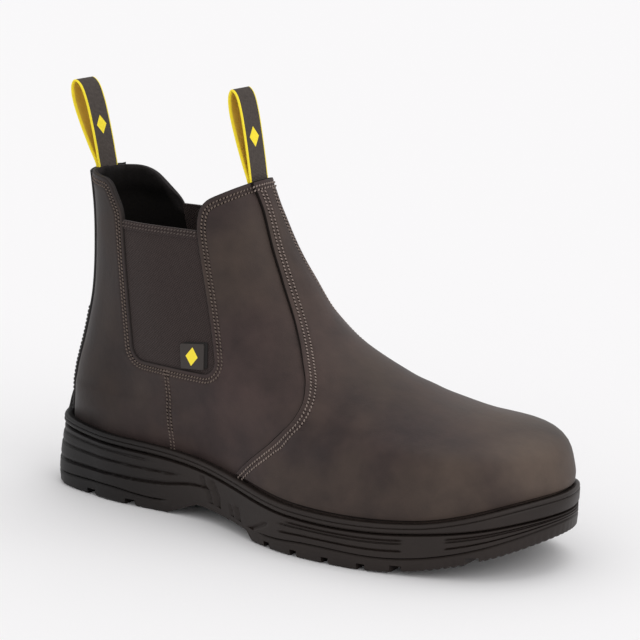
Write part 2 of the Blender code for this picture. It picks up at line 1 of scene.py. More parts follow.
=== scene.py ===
"""Looks of a side gore work boot, laid out as a Blender add-on and run as a script.

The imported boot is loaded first. Each operator then dresses one piece of it: leather panels cut to
their outlines on the last, elastic gores, woven pull loops, rows of stitches, and the ribbed sole.
Lengths are in millimetres and meshes in metres. +X points to the toe, +Y to the medial side.
"""

import json
import math

import bmesh
import bpy
import numpy as np
from mathutils import Matrix, Vector
from mathutils.geometry import delaunay_2d_cdt
from mathutils.kdtree import KDTree

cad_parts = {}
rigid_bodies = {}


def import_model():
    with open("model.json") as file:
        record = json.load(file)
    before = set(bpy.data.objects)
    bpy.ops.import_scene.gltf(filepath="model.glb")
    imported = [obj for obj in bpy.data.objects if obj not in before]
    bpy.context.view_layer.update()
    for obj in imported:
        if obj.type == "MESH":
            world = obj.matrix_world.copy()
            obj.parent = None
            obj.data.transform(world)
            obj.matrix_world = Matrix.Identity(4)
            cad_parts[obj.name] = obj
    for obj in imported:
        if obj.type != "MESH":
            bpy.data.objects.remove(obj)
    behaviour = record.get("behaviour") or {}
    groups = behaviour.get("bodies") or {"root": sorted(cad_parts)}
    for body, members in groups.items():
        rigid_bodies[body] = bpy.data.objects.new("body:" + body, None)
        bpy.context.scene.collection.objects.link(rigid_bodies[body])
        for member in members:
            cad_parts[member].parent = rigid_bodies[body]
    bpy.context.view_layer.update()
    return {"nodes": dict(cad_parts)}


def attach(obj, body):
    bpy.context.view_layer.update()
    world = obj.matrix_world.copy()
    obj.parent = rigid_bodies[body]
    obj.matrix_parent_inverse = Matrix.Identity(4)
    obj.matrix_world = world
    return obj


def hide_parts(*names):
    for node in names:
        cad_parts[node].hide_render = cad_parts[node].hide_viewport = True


bl_info = {
    "name": "Side gore work boot",
    "version": (1, 0, 0),
    "blender": (4, 5, 0),
    "location": "3D View > Sidebar > Boot",
    "description": "Dresses the packed solids of a side gore work boot",
    "category": "Object",
}

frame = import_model()
MM = 0.001
BODY = "root"

# Driving sizes of the boot, as in its solids
SOLE_LENGTH = 305.0
BALL_WIDTH = 116.0
GAP = 0.3
UPPER_INSET = 5.0
RIM_HEIGHT = 5.6
RIM_LIP = 0.5
TREAD_BEVEL = 2.0
CHANNEL_DEPTH = 3.6
TOE_SPRING = 19.5
SPRING_START = 62.0
HEEL_BEVEL = 2.0
HEEL_BEVEL_START = -136.0
HEEL_LEAN = 3.4
HEEL_TAB_RISE = 8.0
HEEL_TAB_HALF_WIDTH = 15.0
TOE_RIM_RISE = 4.4
LOOP_WIDTH = 16.0
END_CROWDING = 0.4
# x from none to full, in mm: the heel's lean, the rim's rise at the toe and the tab at the heel
HEEL_LEAN_X, TOE_RIM_X, HEEL_TAB_X = (-108.0, -152.0), (95.0, 150.0), (-130.0, -144.0)
# Share of the tab's half width over which its top is flat
HEEL_TAB_FLAT = 0.45
# x over which the waist's smooth form starts and ends, in mm
WAIST_START, WAIST_END = (-68.0, -60.0), (4.0, 12.0)

# Share of half the length and of half the width, from the heel's back past the lateral side
SOLE_OUTLINE = (
    (-1.000, 0.000),
    (-0.942, -0.440),
    (-0.720, -0.640),
    (-0.250, -0.665),
    (0.190, -1.000),
    (0.610, -0.885),
    (0.868, -0.565),
    (1.000, 0.080),
    (0.908, 0.645),
    (0.690, 0.885),
    (0.340, 0.985),
    (-0.200, 0.690),
    (-0.700, 0.640),
    (-0.938, 0.430),
)
TOE_TIP_ROW = 7
# x, height
SEAT = (
    (-152.5, 33.8),
    (-115.0, 31.7),
    (-65.0, 29.6),
    (-20.0, 24.6),
    (30.0, 19.9),
    (80.0, 20.2),
    (120.0, 24.6),
    (152.5, 30.8),
)
# x, thickness of the tread
TREAD = (
    (-152.5, 6.6),
    (-100.0, 8.2),
    (-64.0, 6.8),
    (-42.0, 11.6),
    (-14.0, 9.2),
    (6.0, 6.6),
    (40.0, 8.4),
    (100.0, 6.8),
    (152.5, 7.6),
)
# The arch under the waist as x, z, and how far to each side its cutter reaches
ARCH_REACH = 80.0
ARCH = ((-64.0, -6.0), (-64.0, 0.0), (-42.0, 8.7), (-12.0, 6.3), (-3.0, 5.4), (1.0, 1.0), (2.5, -6.0))
# Channels between the lugs: x and width of those at the sides, the two ends and y of those that run
# along the sole, x of those across its middle
SIDE_CHANNELS = (
    (-112.0, 7.5),
    (-84.0, 7.5),
    (14.0, 4.0),
    (32.0, 4.0),
    (51.0, 4.0),
    (71.0, 4.5),
    (89.0, 6.0),
    (125.0, 7.0),
)
LONG_CHANNELS = ((-138.0, -70.0, 16.0), (8.0, 124.0, 18.0))
MIDDLE_CHANNELS = (-126.0, -98.0, 23.0, 41.5, 61.0, 80.0, 106.0)
CHANNEL_WIDTH = 4.0
# How far the side and middle channels slant along x, the y that they span, and the wider mouth of
# the side ones
CHANNEL_SLANT, SIDE_CHANNEL_Y, MIDDLE_CHANNEL_Y, CHANNEL_FLARE = 3.0, (18.0, 70.0), 17.0, 1.5
# Where a cutter starts below the floor, and how much narrower a channel's roof is than its mouth
CUTTER_FOOT, ROOF_SHARE = -8.0, 0.7

# Sections of the last: back x and z, front x and z, half widths at heel, waist (lateral, medial) and
# ball (lateral, medial), rounding of the back and of the front, lean of the toe
SECTIONS = (
    (-143.5, 50.0, 144.8, 48.5, 34.5, 36.5, 34.5, 48.6, 49.0, 40.0, 66.0, 6.0),
    (-143.2, 55.5, 141.2, 58.0, 34.5, 37.5, 35.5, 47.6, 48.0, 40.0, 64.0, 6.0),
    (-142.7, 60.5, 122.2, 61.2, 33.2, 37.5, 35.5, 44.6, 44.6, 40.0, 62.0, 6.0),
    (-141.7, 66.0, 98.3, 67.2, 32.4, 37.3, 35.8, 41.9, 41.5, 39.0, 64.0, 5.0),
    (-139.8, 72.5, 73.7, 74.2, 32.0, 37.4, 36.4, 40.0, 39.0, 38.0, 66.0, 4.0),
    (-137.4, 81.0, 47.0, 84.4, 31.4, 36.9, 35.9, 37.5, 36.5, 38.0, 64.0, 3.0),
    (-134.4, 93.0, 22.3, 97.8, 30.5, 36.0, 35.5, 35.0, 34.6, 37.0, 60.0, 2.0),
    (-131.2, 109.0, 3.0, 117.5, 29.8, 34.8, 34.8, 33.2, 33.2, 36.0, 54.0, 1.0),
    (-129.9, 129.0, -11.3, 139.4, 29.2, 33.2, 33.2, 31.4, 31.4, 35.0, 46.0, 0.0),
    (-130.3, 151.0, -21.0, 158.8, 28.4, 30.6, 30.6, 29.2, 29.2, 34.0, 40.0, 0.0),
    (-134.2, 180.0, -32.4, 184.0, 26.8, 28.2, 28.2, 27.6, 27.6, 33.0, 35.0, 0.0),
)
HEEL_SHARE, WAIST_SHARE, BALL_SHARE = 0.16, 0.42, 0.68

# Side-view corners as x, z and corner radius
COLLAR_CORNERS = (
    (-170.0, 174.0, 0.0),
    (-117.5, 171.0, 20.0),
    (-98.8, 152.0, 20.0),
    (-86.5, 79.5, 8.0),
    (-30.5, 79.5, 6.0),
    (-50.0, 152.0, 30.0),
    (-49.5, 165.5, 12.0),
    (-19.0, 181.5, 0.0),
)
# The vamp's edge as x, z
SEAM = (
    (-37.6, 190.0),
    (-24.8, 164.0),
    (-14.6, 140.6),
    (-7.0, 125.8),
    (2.2, 108.8),
    (13.4, 91.4),
    (20.6, 80.6),
    (23.0, 73.4),
    (20.6, 66.4),
    (8.0, 53.0),
    (-9.0, 37.6),
    (-27.9, 18.0),
)
# Soft forms of the worn leather in side view: x, z, half length along, half width across, angle from
# level in degrees, depth in mm (a ridge is negative)
CREASES = (
    (40.0, 60.0, 24.0, 7.0, 60.0, 0.55),
    (54.0, 55.0, 20.0, 6.0, 58.0, 0.45),
    (47.0, 58.0, 22.0, 5.0, 59.0, -0.35),
    (6.0, 112.0, 20.0, 9.0, 35.0, 0.5),
    (-6.0, 124.0, 20.0, 9.0, 30.0, -0.35),
    (-112.0, 100.0, 26.0, 8.0, 80.0, 0.6),
    (-104.0, 58.0, 20.0, 9.0, 15.0, 0.5),
    (-20.0, 52.0, 26.0, 9.0, 40.0, 0.5),
    (84.0, 47.0, 16.0, 8.0, 20.0, 0.5),
)
GORE_TOP = 151.5
# The collar of the near side is fuller at the back corner than the far one
NEAR_COLLAR_CORNERS = (
    (-170.0, 174.0, 0.0),
    (-107.5, 171.5, 10.0),
    (-97.0, 156.0, 14.0),
    *COLLAR_CORNERS[3:],
)
TAG_CORNERS = ((-52.8, 80.2, 0.0), (-38.2, 81.4, 0.0), (-39.6, 94.6, 0.0), (-54.2, 93.0, 0.0))
QUARTER_SEAM = ((-63.1, 77.0), (-62.3, 58.6), (-61.8, 30.0))

# Centreline of a pull loop: offset of the sewn end, share of the loop's width, height
LOOP_PATH = (
    (-0.75, 0.00, 0.0),
    (-0.75, 0.00, 9.5),
    (-0.40, -0.30, 20.0),
    (0.00, -0.60, 32.0),
    (0.00, -0.74, 44.0),
    (0.00, -0.62, 52.5),
    (0.00, -0.25, 56.6),
    (0.00, 0.14, 53.5),
    (0.00, 0.28, 45.0),
    (0.00, 0.27, 33.0),
    (0.40, 0.14, 20.0),
    (0.75, 0.00, 9.5),
    (0.75, 0.00, 0.0),
)
LOOP_SEWN_ROW, LOOP_TOP_ROW = 1, 6
# Name, x and height of the sewn ends, lean in the slot and above it, height scale, width of the loop
LOOPS = (
    ("back", -129.1, 165.5, 1.1, 13.0, 0.92, 8.6),
    ("front", -27.6, 166.0, 4.2, 9.8, 0.98, 6.8),
)

# How far the turn over the toe is blurred, in mm
TOE_SOFTNESS = 9.0
# Where that blur sets in: x and y from none to full, and share of the height over which it ends
BLUR_X = (-20.0, 70.0)
BLUR_Y = (-12.0, 14.0)
BLUR_RISE, BLUR_END = 0.2, (0.55, 0.7)
# The toe's dome over its steel cap: its middle, its reach and how far it swells, in mm
TOE_DOME = (117.0, 22.0, 60.0)
TOE_DOME_REACH = 30.0
TOE_DOME_RISE = 3.6
# Points of the fine curves that are resampled later
CURVE_POINTS = 1500
# Power of the last's rounded ends: 2 would be a circle
ROUNDNESS = 2.2
# Mesh density of the last, from which every panel takes its form
COLUMNS = 384
ROWS = 200

# Where the photograph was taken from, and its frame in pixels
CAMERA_TARGET = (0.0, 0.0, 80.0)
CAMERA_AZIMUTH, CAMERA_ELEVATION, CAMERA_ROLL = 33.566, 14.405, 0.873
CAMERA_DISTANCE = 1304.7
CAMERA_FOCAL_PIXELS = 2528.0
TARGET_PIXEL = (306.5, 369.6)
FRAME_PIXELS = 640.0
SENSOR = 36.0


def smoothstep(low, high, value):
    share = np.clip((value - low) / (high - low), 0.0, 1.0)
    return share * share * (3.0 - 2.0 * share)


def spline(knots, values, at):
    """Smooth curve through values at the knots, evaluated at one or more places."""
    knots = np.asarray(knots, float)
    values = np.asarray(values, float)
    at = np.asarray(at, float)
    extra = (1,) * (values.ndim - 1)
    step = np.diff(knots)
    wide = step.reshape(-1, *extra)
    slope = np.diff(values, axis=0) / wide
    tangent = np.empty_like(values)
    tangent[0], tangent[-1] = slope[0], slope[-1]
    tangent[1:-1] = (slope[:-1] * wide[1:] + slope[1:] * wide[:-1]) / (wide[:-1] + wide[1:])
    span = np.clip(np.searchsorted(knots, at, "right") - 1, 0, len(step) - 1)
    t = ((at - knots[span]) / step[span]).reshape(*at.shape, *extra)
    width = wide[span]
    return (
        (2 * t**3 - 3 * t**2 + 1) * values[span]
        + (t**3 - 2 * t**2 + t) * width * tangent[span]
        + (3 * t**2 - 2 * t**3) * values[span + 1]
        + (t**3 - t**2) * width * tangent[span + 1]
    )


def unit(vectors):
    return vectors / np.maximum(np.linalg.norm(vectors, axis=-1, keepdims=True), 1e-9)


def travelled(points):
    """Distance along a polyline at each of its points."""
    return np.concatenate([[0.0], np.cumsum(np.linalg.norm(np.diff(points, axis=0), axis=1))])


def spaced_points(curve, count):
    """count + 1 points along a dense polyline, ends included, closer together near its ends."""
    distance = travelled(curve)
    share = np.linspace(0.0, 1.0, count + 1)
    share -= END_CROWDING * np.sin(2.0 * math.pi * share) / (2.0 * math.pi)
    wanted = share * distance[-1]
    return np.column_stack([np.interp(wanted, distance, axis) for axis in curve.T])


def join_halves(lateral, medial):
    """One closed ring: heel back, lateral side, toe, medial side. Both halves run heel to toe."""
    return np.vstack([lateral, medial[-2:0:-1]])


def sole_outline(columns=COLUMNS):
    """The sole's outline as x, y, starting at the heel's back and passing the lateral side first."""
    corners = np.array(SOLE_OUTLINE) * (SOLE_LENGTH / 2, BALL_WIDTH / 2)
    padded = np.vstack([corners[-2:], corners, corners[:3]])
    knots = travelled(padded)
    start, tip, end = knots[2], knots[2 + TOE_TIP_ROW], knots[2 + len(corners)]
    lateral = spaced_points(spline(knots, padded, np.linspace(start, tip, CURVE_POINTS)), columns // 2)
    medial = spaced_points(spline(knots, padded, np.linspace(end, tip, CURVE_POINTS)), columns // 2)
    outline = join_halves(lateral, medial)
    centre = (outline.max(axis=0) + outline.min(axis=0)) / 2.0
    return outline - centre - (RIM_LIP / 2.0, 0.0)


def inset(outline, distance):
    """The outline moved inwards by a distance, which may differ from point to point."""
    along = unit(np.roll(outline, -1, axis=0) - np.roll(outline, 1, axis=0))
    inwards = np.column_stack([-along[:, 1], along[:, 0]])
    return outline + inwards * np.reshape(distance, (-1, 1))


def at_stations(table, x):
    table = np.array(table)
    return spline(table[:, 0], table[:, 1], np.clip(x, table[0, 0], table[-1, 0]))


def floor_height(x):
    """Underside of the tread: flat, with toe spring and a bevel at the heel's back."""
    spring = np.clip((x - SPRING_START) / (SOLE_LENGTH / 2 - SPRING_START), 0.0, 1.0)
    bevel = np.clip((HEEL_BEVEL_START - x) / (SOLE_LENGTH / 2 + HEEL_BEVEL_START), 0.0, 1.0)
    return TOE_SPRING * spring**2 + HEEL_BEVEL * bevel**2


def tread_top(x):
    return floor_height(x) + at_stations(TREAD, x)


def seat_height(x):
    return at_stations(SEAT, x)


def heel_lean(x):
    return HEEL_LEAN * smoothstep(*HEEL_LEAN_X, x)


def rim_line(x):
    return seat_height(x) + RIM_HEIGHT + TOE_RIM_RISE * smoothstep(*TOE_RIM_X, x)


def rim_top(x, y):
    """Top of the rim, with the tab at the back of the heel."""
    heel = smoothstep(*HEEL_TAB_X, x)
    tab = 1.0 - smoothstep(HEEL_TAB_FLAT, 1.0, np.abs(y) / HEEL_TAB_HALF_WIDTH)
    return rim_line(x) + HEEL_TAB_RISE * heel * tab


def section_ring(row):
    """A closed ring of points for one row of the table of sections."""
    back, front = np.array(row[0:2]), np.array(row[2:4])
    heel, waist_lateral, waist_medial, ball_lateral, ball_medial, back_round, front_round, lean = row[4:]
    length = np.linalg.norm(front - back)
    share = (1.0 - np.cos(np.linspace(0.0, math.pi, CURVE_POINTS))) / 2.0
    from_back = np.clip(share * length / back_round, 0.0, 1.0)
    from_front = np.clip((1.0 - share) * length / front_round, 0.0, 1.0)
    rounding = np.sqrt(1.0 - (1.0 - from_back) ** ROUNDNESS)
    rounding *= np.sqrt(1.0 - (1.0 - from_front) ** ROUNDNESS)
    lean = lean * smoothstep(0.5, 1.0, share)
    knots = (0.0, HEEL_SHARE, WAIST_SHARE, BALL_SHARE, 1.0)
    halves = []
    for sign, waist, ball in ((-1.0, waist_lateral, ball_lateral), (1.0, waist_medial, ball_medial)):
        half_width = spline(knots, (heel, heel, waist, ball, ball), share)
        centre = back + share[:, None] * (front - back)
        curve = np.column_stack([centre[:, 0], sign * half_width * rounding + lean, centre[:, 1]])
        halves.append(spaced_points(curve, COLUMNS // 2))
    return join_halves(*halves)


def softened(grid, height, low_share):
    """The last with its hard turn over the toe rounded off. Its ends and its heel stay as they are."""
    step = height / (len(grid) - 1)
    reach = int(3.0 * TOE_SOFTNESS / step)
    offsets = np.arange(-reach, reach + 1)
    weights = np.exp(-0.5 * (offsets * step / TOE_SOFTNESS) ** 2)
    weights /= weights.sum()

    def blurred(rows):
        padded = np.concatenate([np.repeat(rows[:1], reach, 0), rows, np.repeat(rows[-1:], reach, 0)])
        return sum(w * padded[i : i + len(rows)] for i, w in enumerate(weights))

    once = blurred(grid)
    left = grid - once
    # The side that bends most, the lateral one, is left softer still
    kept = smoothstep(*BLUR_Y, grid[..., 1:2])
    smooth = once + kept * (blurred(left) + 0.8 * blurred(left - blurred(left)))
    share = np.linspace(0.0, 1.0, len(grid))[:, None, None]
    amount = smoothstep(low_share, low_share + BLUR_RISE, share) * (1.0 - smoothstep(*BLUR_END, share))
    amount = amount * smoothstep(*BLUR_X, grid[..., :1])
    return grid + amount * (smooth - grid)


def crease_depth(points):
    depth = np.zeros(points.shape[:-1])
    for x, z, half_length, half_width, angle, sink in CREASES:
        c, s = math.cos(math.radians(angle)), math.sin(math.radians(angle))
        along = (points[..., 0] - x) * c + (points[..., 2] - z) * s
        across = (points[..., 2] - z) * c - (points[..., 0] - x) * s
        depth += sink * np.exp(-((along / half_length) ** 2) - (across / half_width) ** 2)
    return depth


def outward(grid):
    around = np.roll(grid, -1, axis=1) - np.roll(grid, 1, axis=1)
    return unit(np.cross(around, np.gradient(grid, axis=0)))


def last_grid():
    """Points and outward normals over the last, one ring a row, and the length up its side."""
    outline = sole_outline()
    foot = inset(outline, UPPER_INSET + heel_lean(outline[:, 0]))
    seat = seat_height(foot[:, 0]) + GAP
    keys = [np.column_stack([foot, seat]), np.column_stack([foot, rim_line(outline[:, 0]) + GAP])]
    keys = np.array(keys + [section_ring(row) for row in SECTIONS])
    steps = np.linalg.norm(np.diff(keys, axis=0), axis=2)
    knots = np.concatenate([[0.0], np.cumsum((steps.mean(axis=1) + steps.max(axis=1)) / 2.0)])
    grid = spline(knots, keys, np.linspace(0.0, knots[-1], ROWS))
    low_share = knots[1] / knots[-1]
    grid = softened(grid, knots[-1], low_share)
    from_dome = np.linalg.norm(grid - TOE_DOME, axis=2) / TOE_DOME_REACH
    dome = TOE_DOME_RISE * np.exp(-(from_dome**2))
    grid = grid + outward(grid) * (dome - crease_depth(grid))[..., None]
    return grid, outward(grid), knots[-1], low_share


LAST, LAST_NORMAL, LAST_HEIGHT, RIM_SHARE = last_grid()
# Spacing of the grid points from which the search for a place starts, and its longest step
START_SPACING, LONGEST_STEP = 3, 0.03
# Steps of the two searches for places on the last
STEPS_TO_PLACE, HALVINGS = 12, 40
# A point is found if it is this near its place in side view, in mm
MISS = 0.05
# Shares of a turn: the widest part of the heel, and where the last turns away from the side view
HEEL_TURN, BACK_TURN, FRONT_TURN = 0.14, 0.06, 0.44
# Corners of the collar's peaks in side view, in mm
BACK_PEAK_X, FRONT_PEAK_X, FRONT_PEAK_Z = -112.0, -60.0, 168.0
SIDES = ("lateral", "medial")
# One turn round the last at mid height, which makes shares into near millimetres for triangulation
LAST_TURN = 520.0


def on_last(shares, lift=0.0):
    """Points on the last, lifted off it by some mm. A share is (round, up): round is 0 at the heel's
    back, 0.5 at the toe and rises past the lateral side, up is 0 at the sole and 1 at the top."""
    shares = np.asarray(shares, float)
    column = (shares[..., 0] % 1.0) * COLUMNS
    row = np.clip(shares[..., 1], 0.0, 1.0) * (ROWS - 1)
    c = np.floor(column).astype(int) % COLUMNS
    r = np.minimum(row.astype(int), ROWS - 2)
    s = (column - np.floor(column))[..., None]
    t = (row - r)[..., None]
    d = (c + 1) % COLUMNS
    points, normals = (
        (g[r, c] * (1 - s) + g[r, d] * s) * (1 - t) + (g[r + 1, c] * (1 - s) + g[r + 1, d] * s) * t
        for g in (LAST, LAST_NORMAL)
    )
    lift = np.asarray(lift, float)
    return points + unit(normals) * (lift[..., None] if lift.ndim else lift)


def normals_on_last(shares):
    return unit(on_last(shares, 1.0) - on_last(shares))


def steps_on_last(shares):
    """How a point on the last moves for a unit step round it and for one up it."""
    h = 1e-3
    around = (on_last(shares + (h, 0.0)) - on_last(shares - (h, 0.0))) / (2 * h)
    upwards = (on_last(shares + (0.0, h)) - on_last(shares - (0.0, h))) / (2 * h)
    return around, upwards


def placed(points, side):
    """Shares on the last of side-view points (x, z), found by stepping from the nearest grid point.
    On the medial side they are below 0, so that the heel's back stays in the middle."""
    points = np.asarray(points, float)
    half = COLUMNS // 2
    columns = np.arange(2, half - 1, START_SPACING) + (half if side == "medial" else 0)
    rows = np.arange(0, ROWS, START_SPACING)
    candidates = LAST[np.ix_(rows, columns)][..., (0, 2)].reshape(-1, 2)
    nearest = np.array([np.argmin(((candidates - p) ** 2).sum(axis=1)) for p in points])
    around = columns[nearest % len(columns)] / COLUMNS
    up = rows[nearest // len(columns)] / (ROWS - 1)
    shares = np.column_stack([around, up])
    low, high = (0.5, 1.0) if side == "medial" else (0.0, 0.5)
    for _ in range(STEPS_TO_PLACE):
        miss = points - on_last(shares)[:, (0, 2)]
        around, upwards = steps_on_last(shares)
        a, b, c, d = around[:, 0], upwards[:, 0], around[:, 2], upwards[:, 2]
        scale = a * d - b * c
        scale = np.where(np.abs(scale) < 1e-3, np.inf, scale)
        step = np.column_stack([d * miss[:, 0] - b * miss[:, 1], a * miss[:, 1] - c * miss[:, 0]])
        step /= scale[:, None]
        shares = np.clip(shares + np.clip(step, -LONGEST_STEP, LONGEST_STEP), (low, 0.0), (high, 1.0))
    if side == "medial":
        shares[:, 0] -= 1.0
    return shares


def halved(low, high, is_low):
    """Halves the spans between two arrays until they close on where is_low turns false."""
    for _ in range(HALVINGS):
        middle = (low + high) / 2.0
        below = is_low(middle)
        low, high = np.where(below, middle, low), np.where(below, high, middle)
    return low


def crossing(around, height_at):
    """Shares where columns of the last cross a side-view line, given as a function of x."""

    def below(up):
        point = on_last(np.column_stack([around, up]))
        return point[:, 2] < height_at(point[:, 0])

    return np.column_stack([around, halved(np.zeros_like(around), np.ones_like(around), below)])


def shifted(shares, distance, closed=False):
    """A line on the last moved to its left by a distance, as seen from outside."""
    points = on_last(shares)
    if closed:
        along = np.roll(points, -1, axis=0) - np.roll(points, 1, axis=0)
    else:
        along = np.gradient(points, axis=0)
    left = np.cross(normals_on_last(shares), unit(along)) * np.reshape(distance, (-1, 1))
    around, upwards = steps_on_last(shares)
    aa, bb, ab = (around**2).sum(1), (upwards**2).sum(1), (around * upwards).sum(1)
    p, q = (left * around).sum(1), (left * upwards).sum(1)
    scale = aa * bb - ab**2
    return shares + np.column_stack([bb * p - ab * q, aa * q - ab * p]) / scale[:, None]


def unfolded(line, source, distance):
    """A shifted line without the points that fold over, where its source bends too sharply."""
    points, base = on_last(line), on_last(source)
    nearest = np.array([np.linalg.norm(base - point, axis=1).min() for point in points])
    return line[nearest > abs(distance) * 0.85]


def relaxed(line, reach=5):
    """The line with its small kinks averaged out."""
    padded = np.concatenate([np.repeat(line[:1], reach, 0), line, np.repeat(line[-1:], reach, 0)])
    kernel = np.full(2 * reach + 1, 1.0 / (2 * reach + 1))
    return np.column_stack([np.convolve(axis, kernel, "valid") for axis in padded.T])


def even(shares, step):
    """The line on the last resampled at about equal steps, in millimetres."""
    distance = travelled(on_last(shares))
    count = max(2, int(round(distance[-1] / step)))
    wanted = np.linspace(0.0, distance[-1], count + 1)
    return np.column_stack([np.interp(wanted, distance, axis) for axis in shares.T])


def rounded(corners, arc_step=6.0):
    """Points of a line whose corners, given as x, z and radius, are rounded by arcs."""
    points = []
    for i, (x, z, radius) in enumerate(corners):
        here = np.array([x, z])
        if radius == 0.0:
            points.append(here)
            continue
        before = unit(np.array(corners[i - 1][:2]) - here)
        after = unit(np.array(corners[(i + 1) % len(corners)][:2]) - here)
        half_angle = math.acos(np.clip(before @ after, -1.0, 1.0)) / 2.0
        centre = here + unit(before + after) * radius / math.sin(half_angle)
        start = here + before * radius / math.tan(half_angle) - centre
        turn = math.pi - 2.0 * half_angle
        turn *= math.copysign(1.0, before[1] * after[0] - before[0] * after[1])
        steps = max(3, math.ceil(abs(math.degrees(turn)) / arc_step))
        for angle in np.linspace(0.0, turn, steps + 1):
            c, s = math.cos(angle), math.sin(angle)
            points.append(centre + np.array([c * start[0] - s * start[1], s * start[0] + c * start[1]]))
    return np.array(points)


def dense(points, step=1.0):
    """A polyline in side view resampled at short equal steps."""
    points = np.asarray(points, float)
    distance = travelled(points)
    wanted = np.linspace(0.0, distance[-1], max(2, int(distance[-1] / step)))
    return np.column_stack([np.interp(wanted, distance, axis) for axis in points.T])


def found_on_last(line, side):
    """Shares of side-view points, and which of the points do lie on the last."""
    shares = placed(line, side)
    return shares, np.abs(on_last(shares)[:, (0, 2)] - line).max(axis=1) < MISS


def collar_line(side):
    """The upper's top edge on one side, from the back peak round the gore window to the front peak."""
    line = dense(rounded(NEAR_COLLAR_CORNERS if side == "lateral" else COLLAR_CORNERS))
    back = line[line[:, 0] < BACK_PEAK_X]
    front = line[(line[:, 1] > FRONT_PEAK_Z) & (line[:, 0] > FRONT_PEAK_X)]
    sign = -1.0 if side == "medial" else 1.0
    shares, found = found_on_last(line, side)
    turn = np.abs(shares[:, 0])
    shares = shares[found & (turn > BACK_TURN) & (turn < FRONT_TURN)]
    start = np.linspace(0.0, abs(shares[0, 0]), 30)[:-1] * sign
    end = np.linspace(abs(shares[-1, 0]), 0.5, 30)[1:] * sign
    at_back = crossing(start, lambda x: np.interp(x, back[:, 0], back[:, 1]))
    at_front = crossing(end, lambda x: np.interp(x, front[:, 0], front[:, 1]))
    return np.vstack([at_back, shares, at_front])


def seam_line(side, low_share):
    """The vamp's edge on one side, from the collar down to a height near the sole."""
    knots = travelled(np.array(SEAM))
    line = spline(knots, SEAM, np.linspace(0.0, knots[-1], 200))
    shares, found = found_on_last(line, side)
    shares = shares[found & (shares[:, 1] > low_share)]
    collar = collar_line(side)
    front = collar[np.abs(collar[:, 0]) > 0.3]
    order = np.argsort(np.abs(front[:, 0]))
    top = np.interp(np.abs(shares[:, 0]), np.abs(front[order, 0]), front[order, 1])
    return shares[shares[:, 1] < top]


def inside(points, outline):
    """Whether points lie in a closed outline, both in the plane of shares."""
    found = np.zeros(len(points), bool)
    ahead = np.roll(outline, -1, axis=0)
    for (x0, y0), (x1, y1) in zip(outline, ahead):
        if y0 == y1:
            continue
        spans = (points[:, 1] >= min(y0, y1)) & (points[:, 1] < max(y0, y1))
        found ^= spans & (points[:, 0] < x0 + (points[:, 1] - y0) * (x1 - x0) / (y1 - y0))
    return found


def search_tree(points):
    tree = KDTree(len(points))
    for i, point in enumerate(points):
        tree.insert(point, i)
    tree.balance()
    return tree


def distance_in(tree, points):
    return np.array([tree.find(point)[2] for point in points])


def nearest_distance(points, targets):
    return distance_in(search_tree(targets), points)


def flat(shares):
    """Shares as near millimetres in a plane, with a third coordinate of 0."""
    return np.column_stack([shares[:, 0] * LAST_TURN, shares[:, 1] * LAST_HEIGHT, np.zeros(len(shares))])


def triangulated(outline, inner):
    """Triangles over a closed outline and the points in it, all as shares."""
    points = np.vstack([outline, inner])
    plane = flat(points)[:, :2]
    count = len(outline)
    edges = [(i, (i + 1) % count) for i in range(count)]
    made = delaunay_2d_cdt([Vector(p) for p in plane], edges, [], 0, 1e-6)
    if len(made[0]) != len(points):
        raise RuntimeError(f"the outline crosses itself: {len(made[0])} points from {len(points)}")
    origin = np.array([origins[0] for origins in made[3]])
    faces = origin[np.array(made[2])]
    a, b, c = (plane[faces[:, i]] for i in range(3))
    kept = inside((a + b + c) / 3.0, plane[:count])
    area = (b[:, 0] - a[:, 0]) * (c[:, 1] - a[:, 1]) - (b[:, 1] - a[:, 1]) * (c[:, 0] - a[:, 0])
    faces = np.where((area > 0.0)[:, None], faces, faces[:, ::-1])
    return points, faces[kept & (np.abs(area) > 1e-6)]


def linked(name, data):
    """A new object in the scene."""
    obj = bpy.data.objects.new(name, data)
    bpy.context.scene.collection.objects.link(obj)
    return obj


def new_piece(name, points, faces, material, replaces=(), sharp=40.0, edge=None):
    """A piece of the boot from points in millimetres, riding on the boot's one body. Faces with four
    corners get the edge material, if there is one."""
    mesh = bpy.data.meshes.new(name)
    mesh.from_pydata(np.asarray(points, float) * MM, [], [list(map(int, face)) for face in faces])
    if edge:
        mesh.polygons.foreach_set("material_index", [int(len(face) == 4) for face in faces])
    mesh.validate()
    mesh.shade_smooth()
    mesh.set_sharp_from_angle(angle=math.radians(sharp))
    mesh.materials.append(material)
    if edge:
        mesh.materials.append(edge)
    obj = linked(name, mesh)
    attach(obj, BODY)
    if replaces:
        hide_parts(*replaces)
    return obj


# Lift off the last and thickness of each sheet, in mm
LINING_SHEET = (-2.0, 0.55)
VAMP_SHEET = (GAP, 1.4)
# Heights at which the vamp and the backstay start, as a share of the rim's height on the last
VAMP_FOOT, STRIP_FOOT = 1.03, 1.12
BACKSTAY_SHEET = (GAP, 1.0)
ELASTIC_SHEET = (-2.1, 1.2)
HEM_SHEET = (-1.0, 0.6)
TAG_SHEET = (-0.6, 0.9)
TAG_FOLD_SHEET = (-0.95, 0.7)
# Points along a sheet's foot and up its front edge
FOOT_POINTS, FRONT_POINTS = 400, 70
# Spacing of points on a sheet's border, and of its rows of triangles as a share of their side
BORDER_STEP, ROW_SPACING = 1.5, 0.87
# Least distance of free points from the border, of guide lines from it and of free points from those
FREE_TO_BORDER, GUIDE_TO_BORDER, FREE_TO_GUIDE = 0.9, 0.5, 0.6
# Where the bevel of a rounded edge breaks, as a share of the rounding
EDGE_BREAK = 0.3


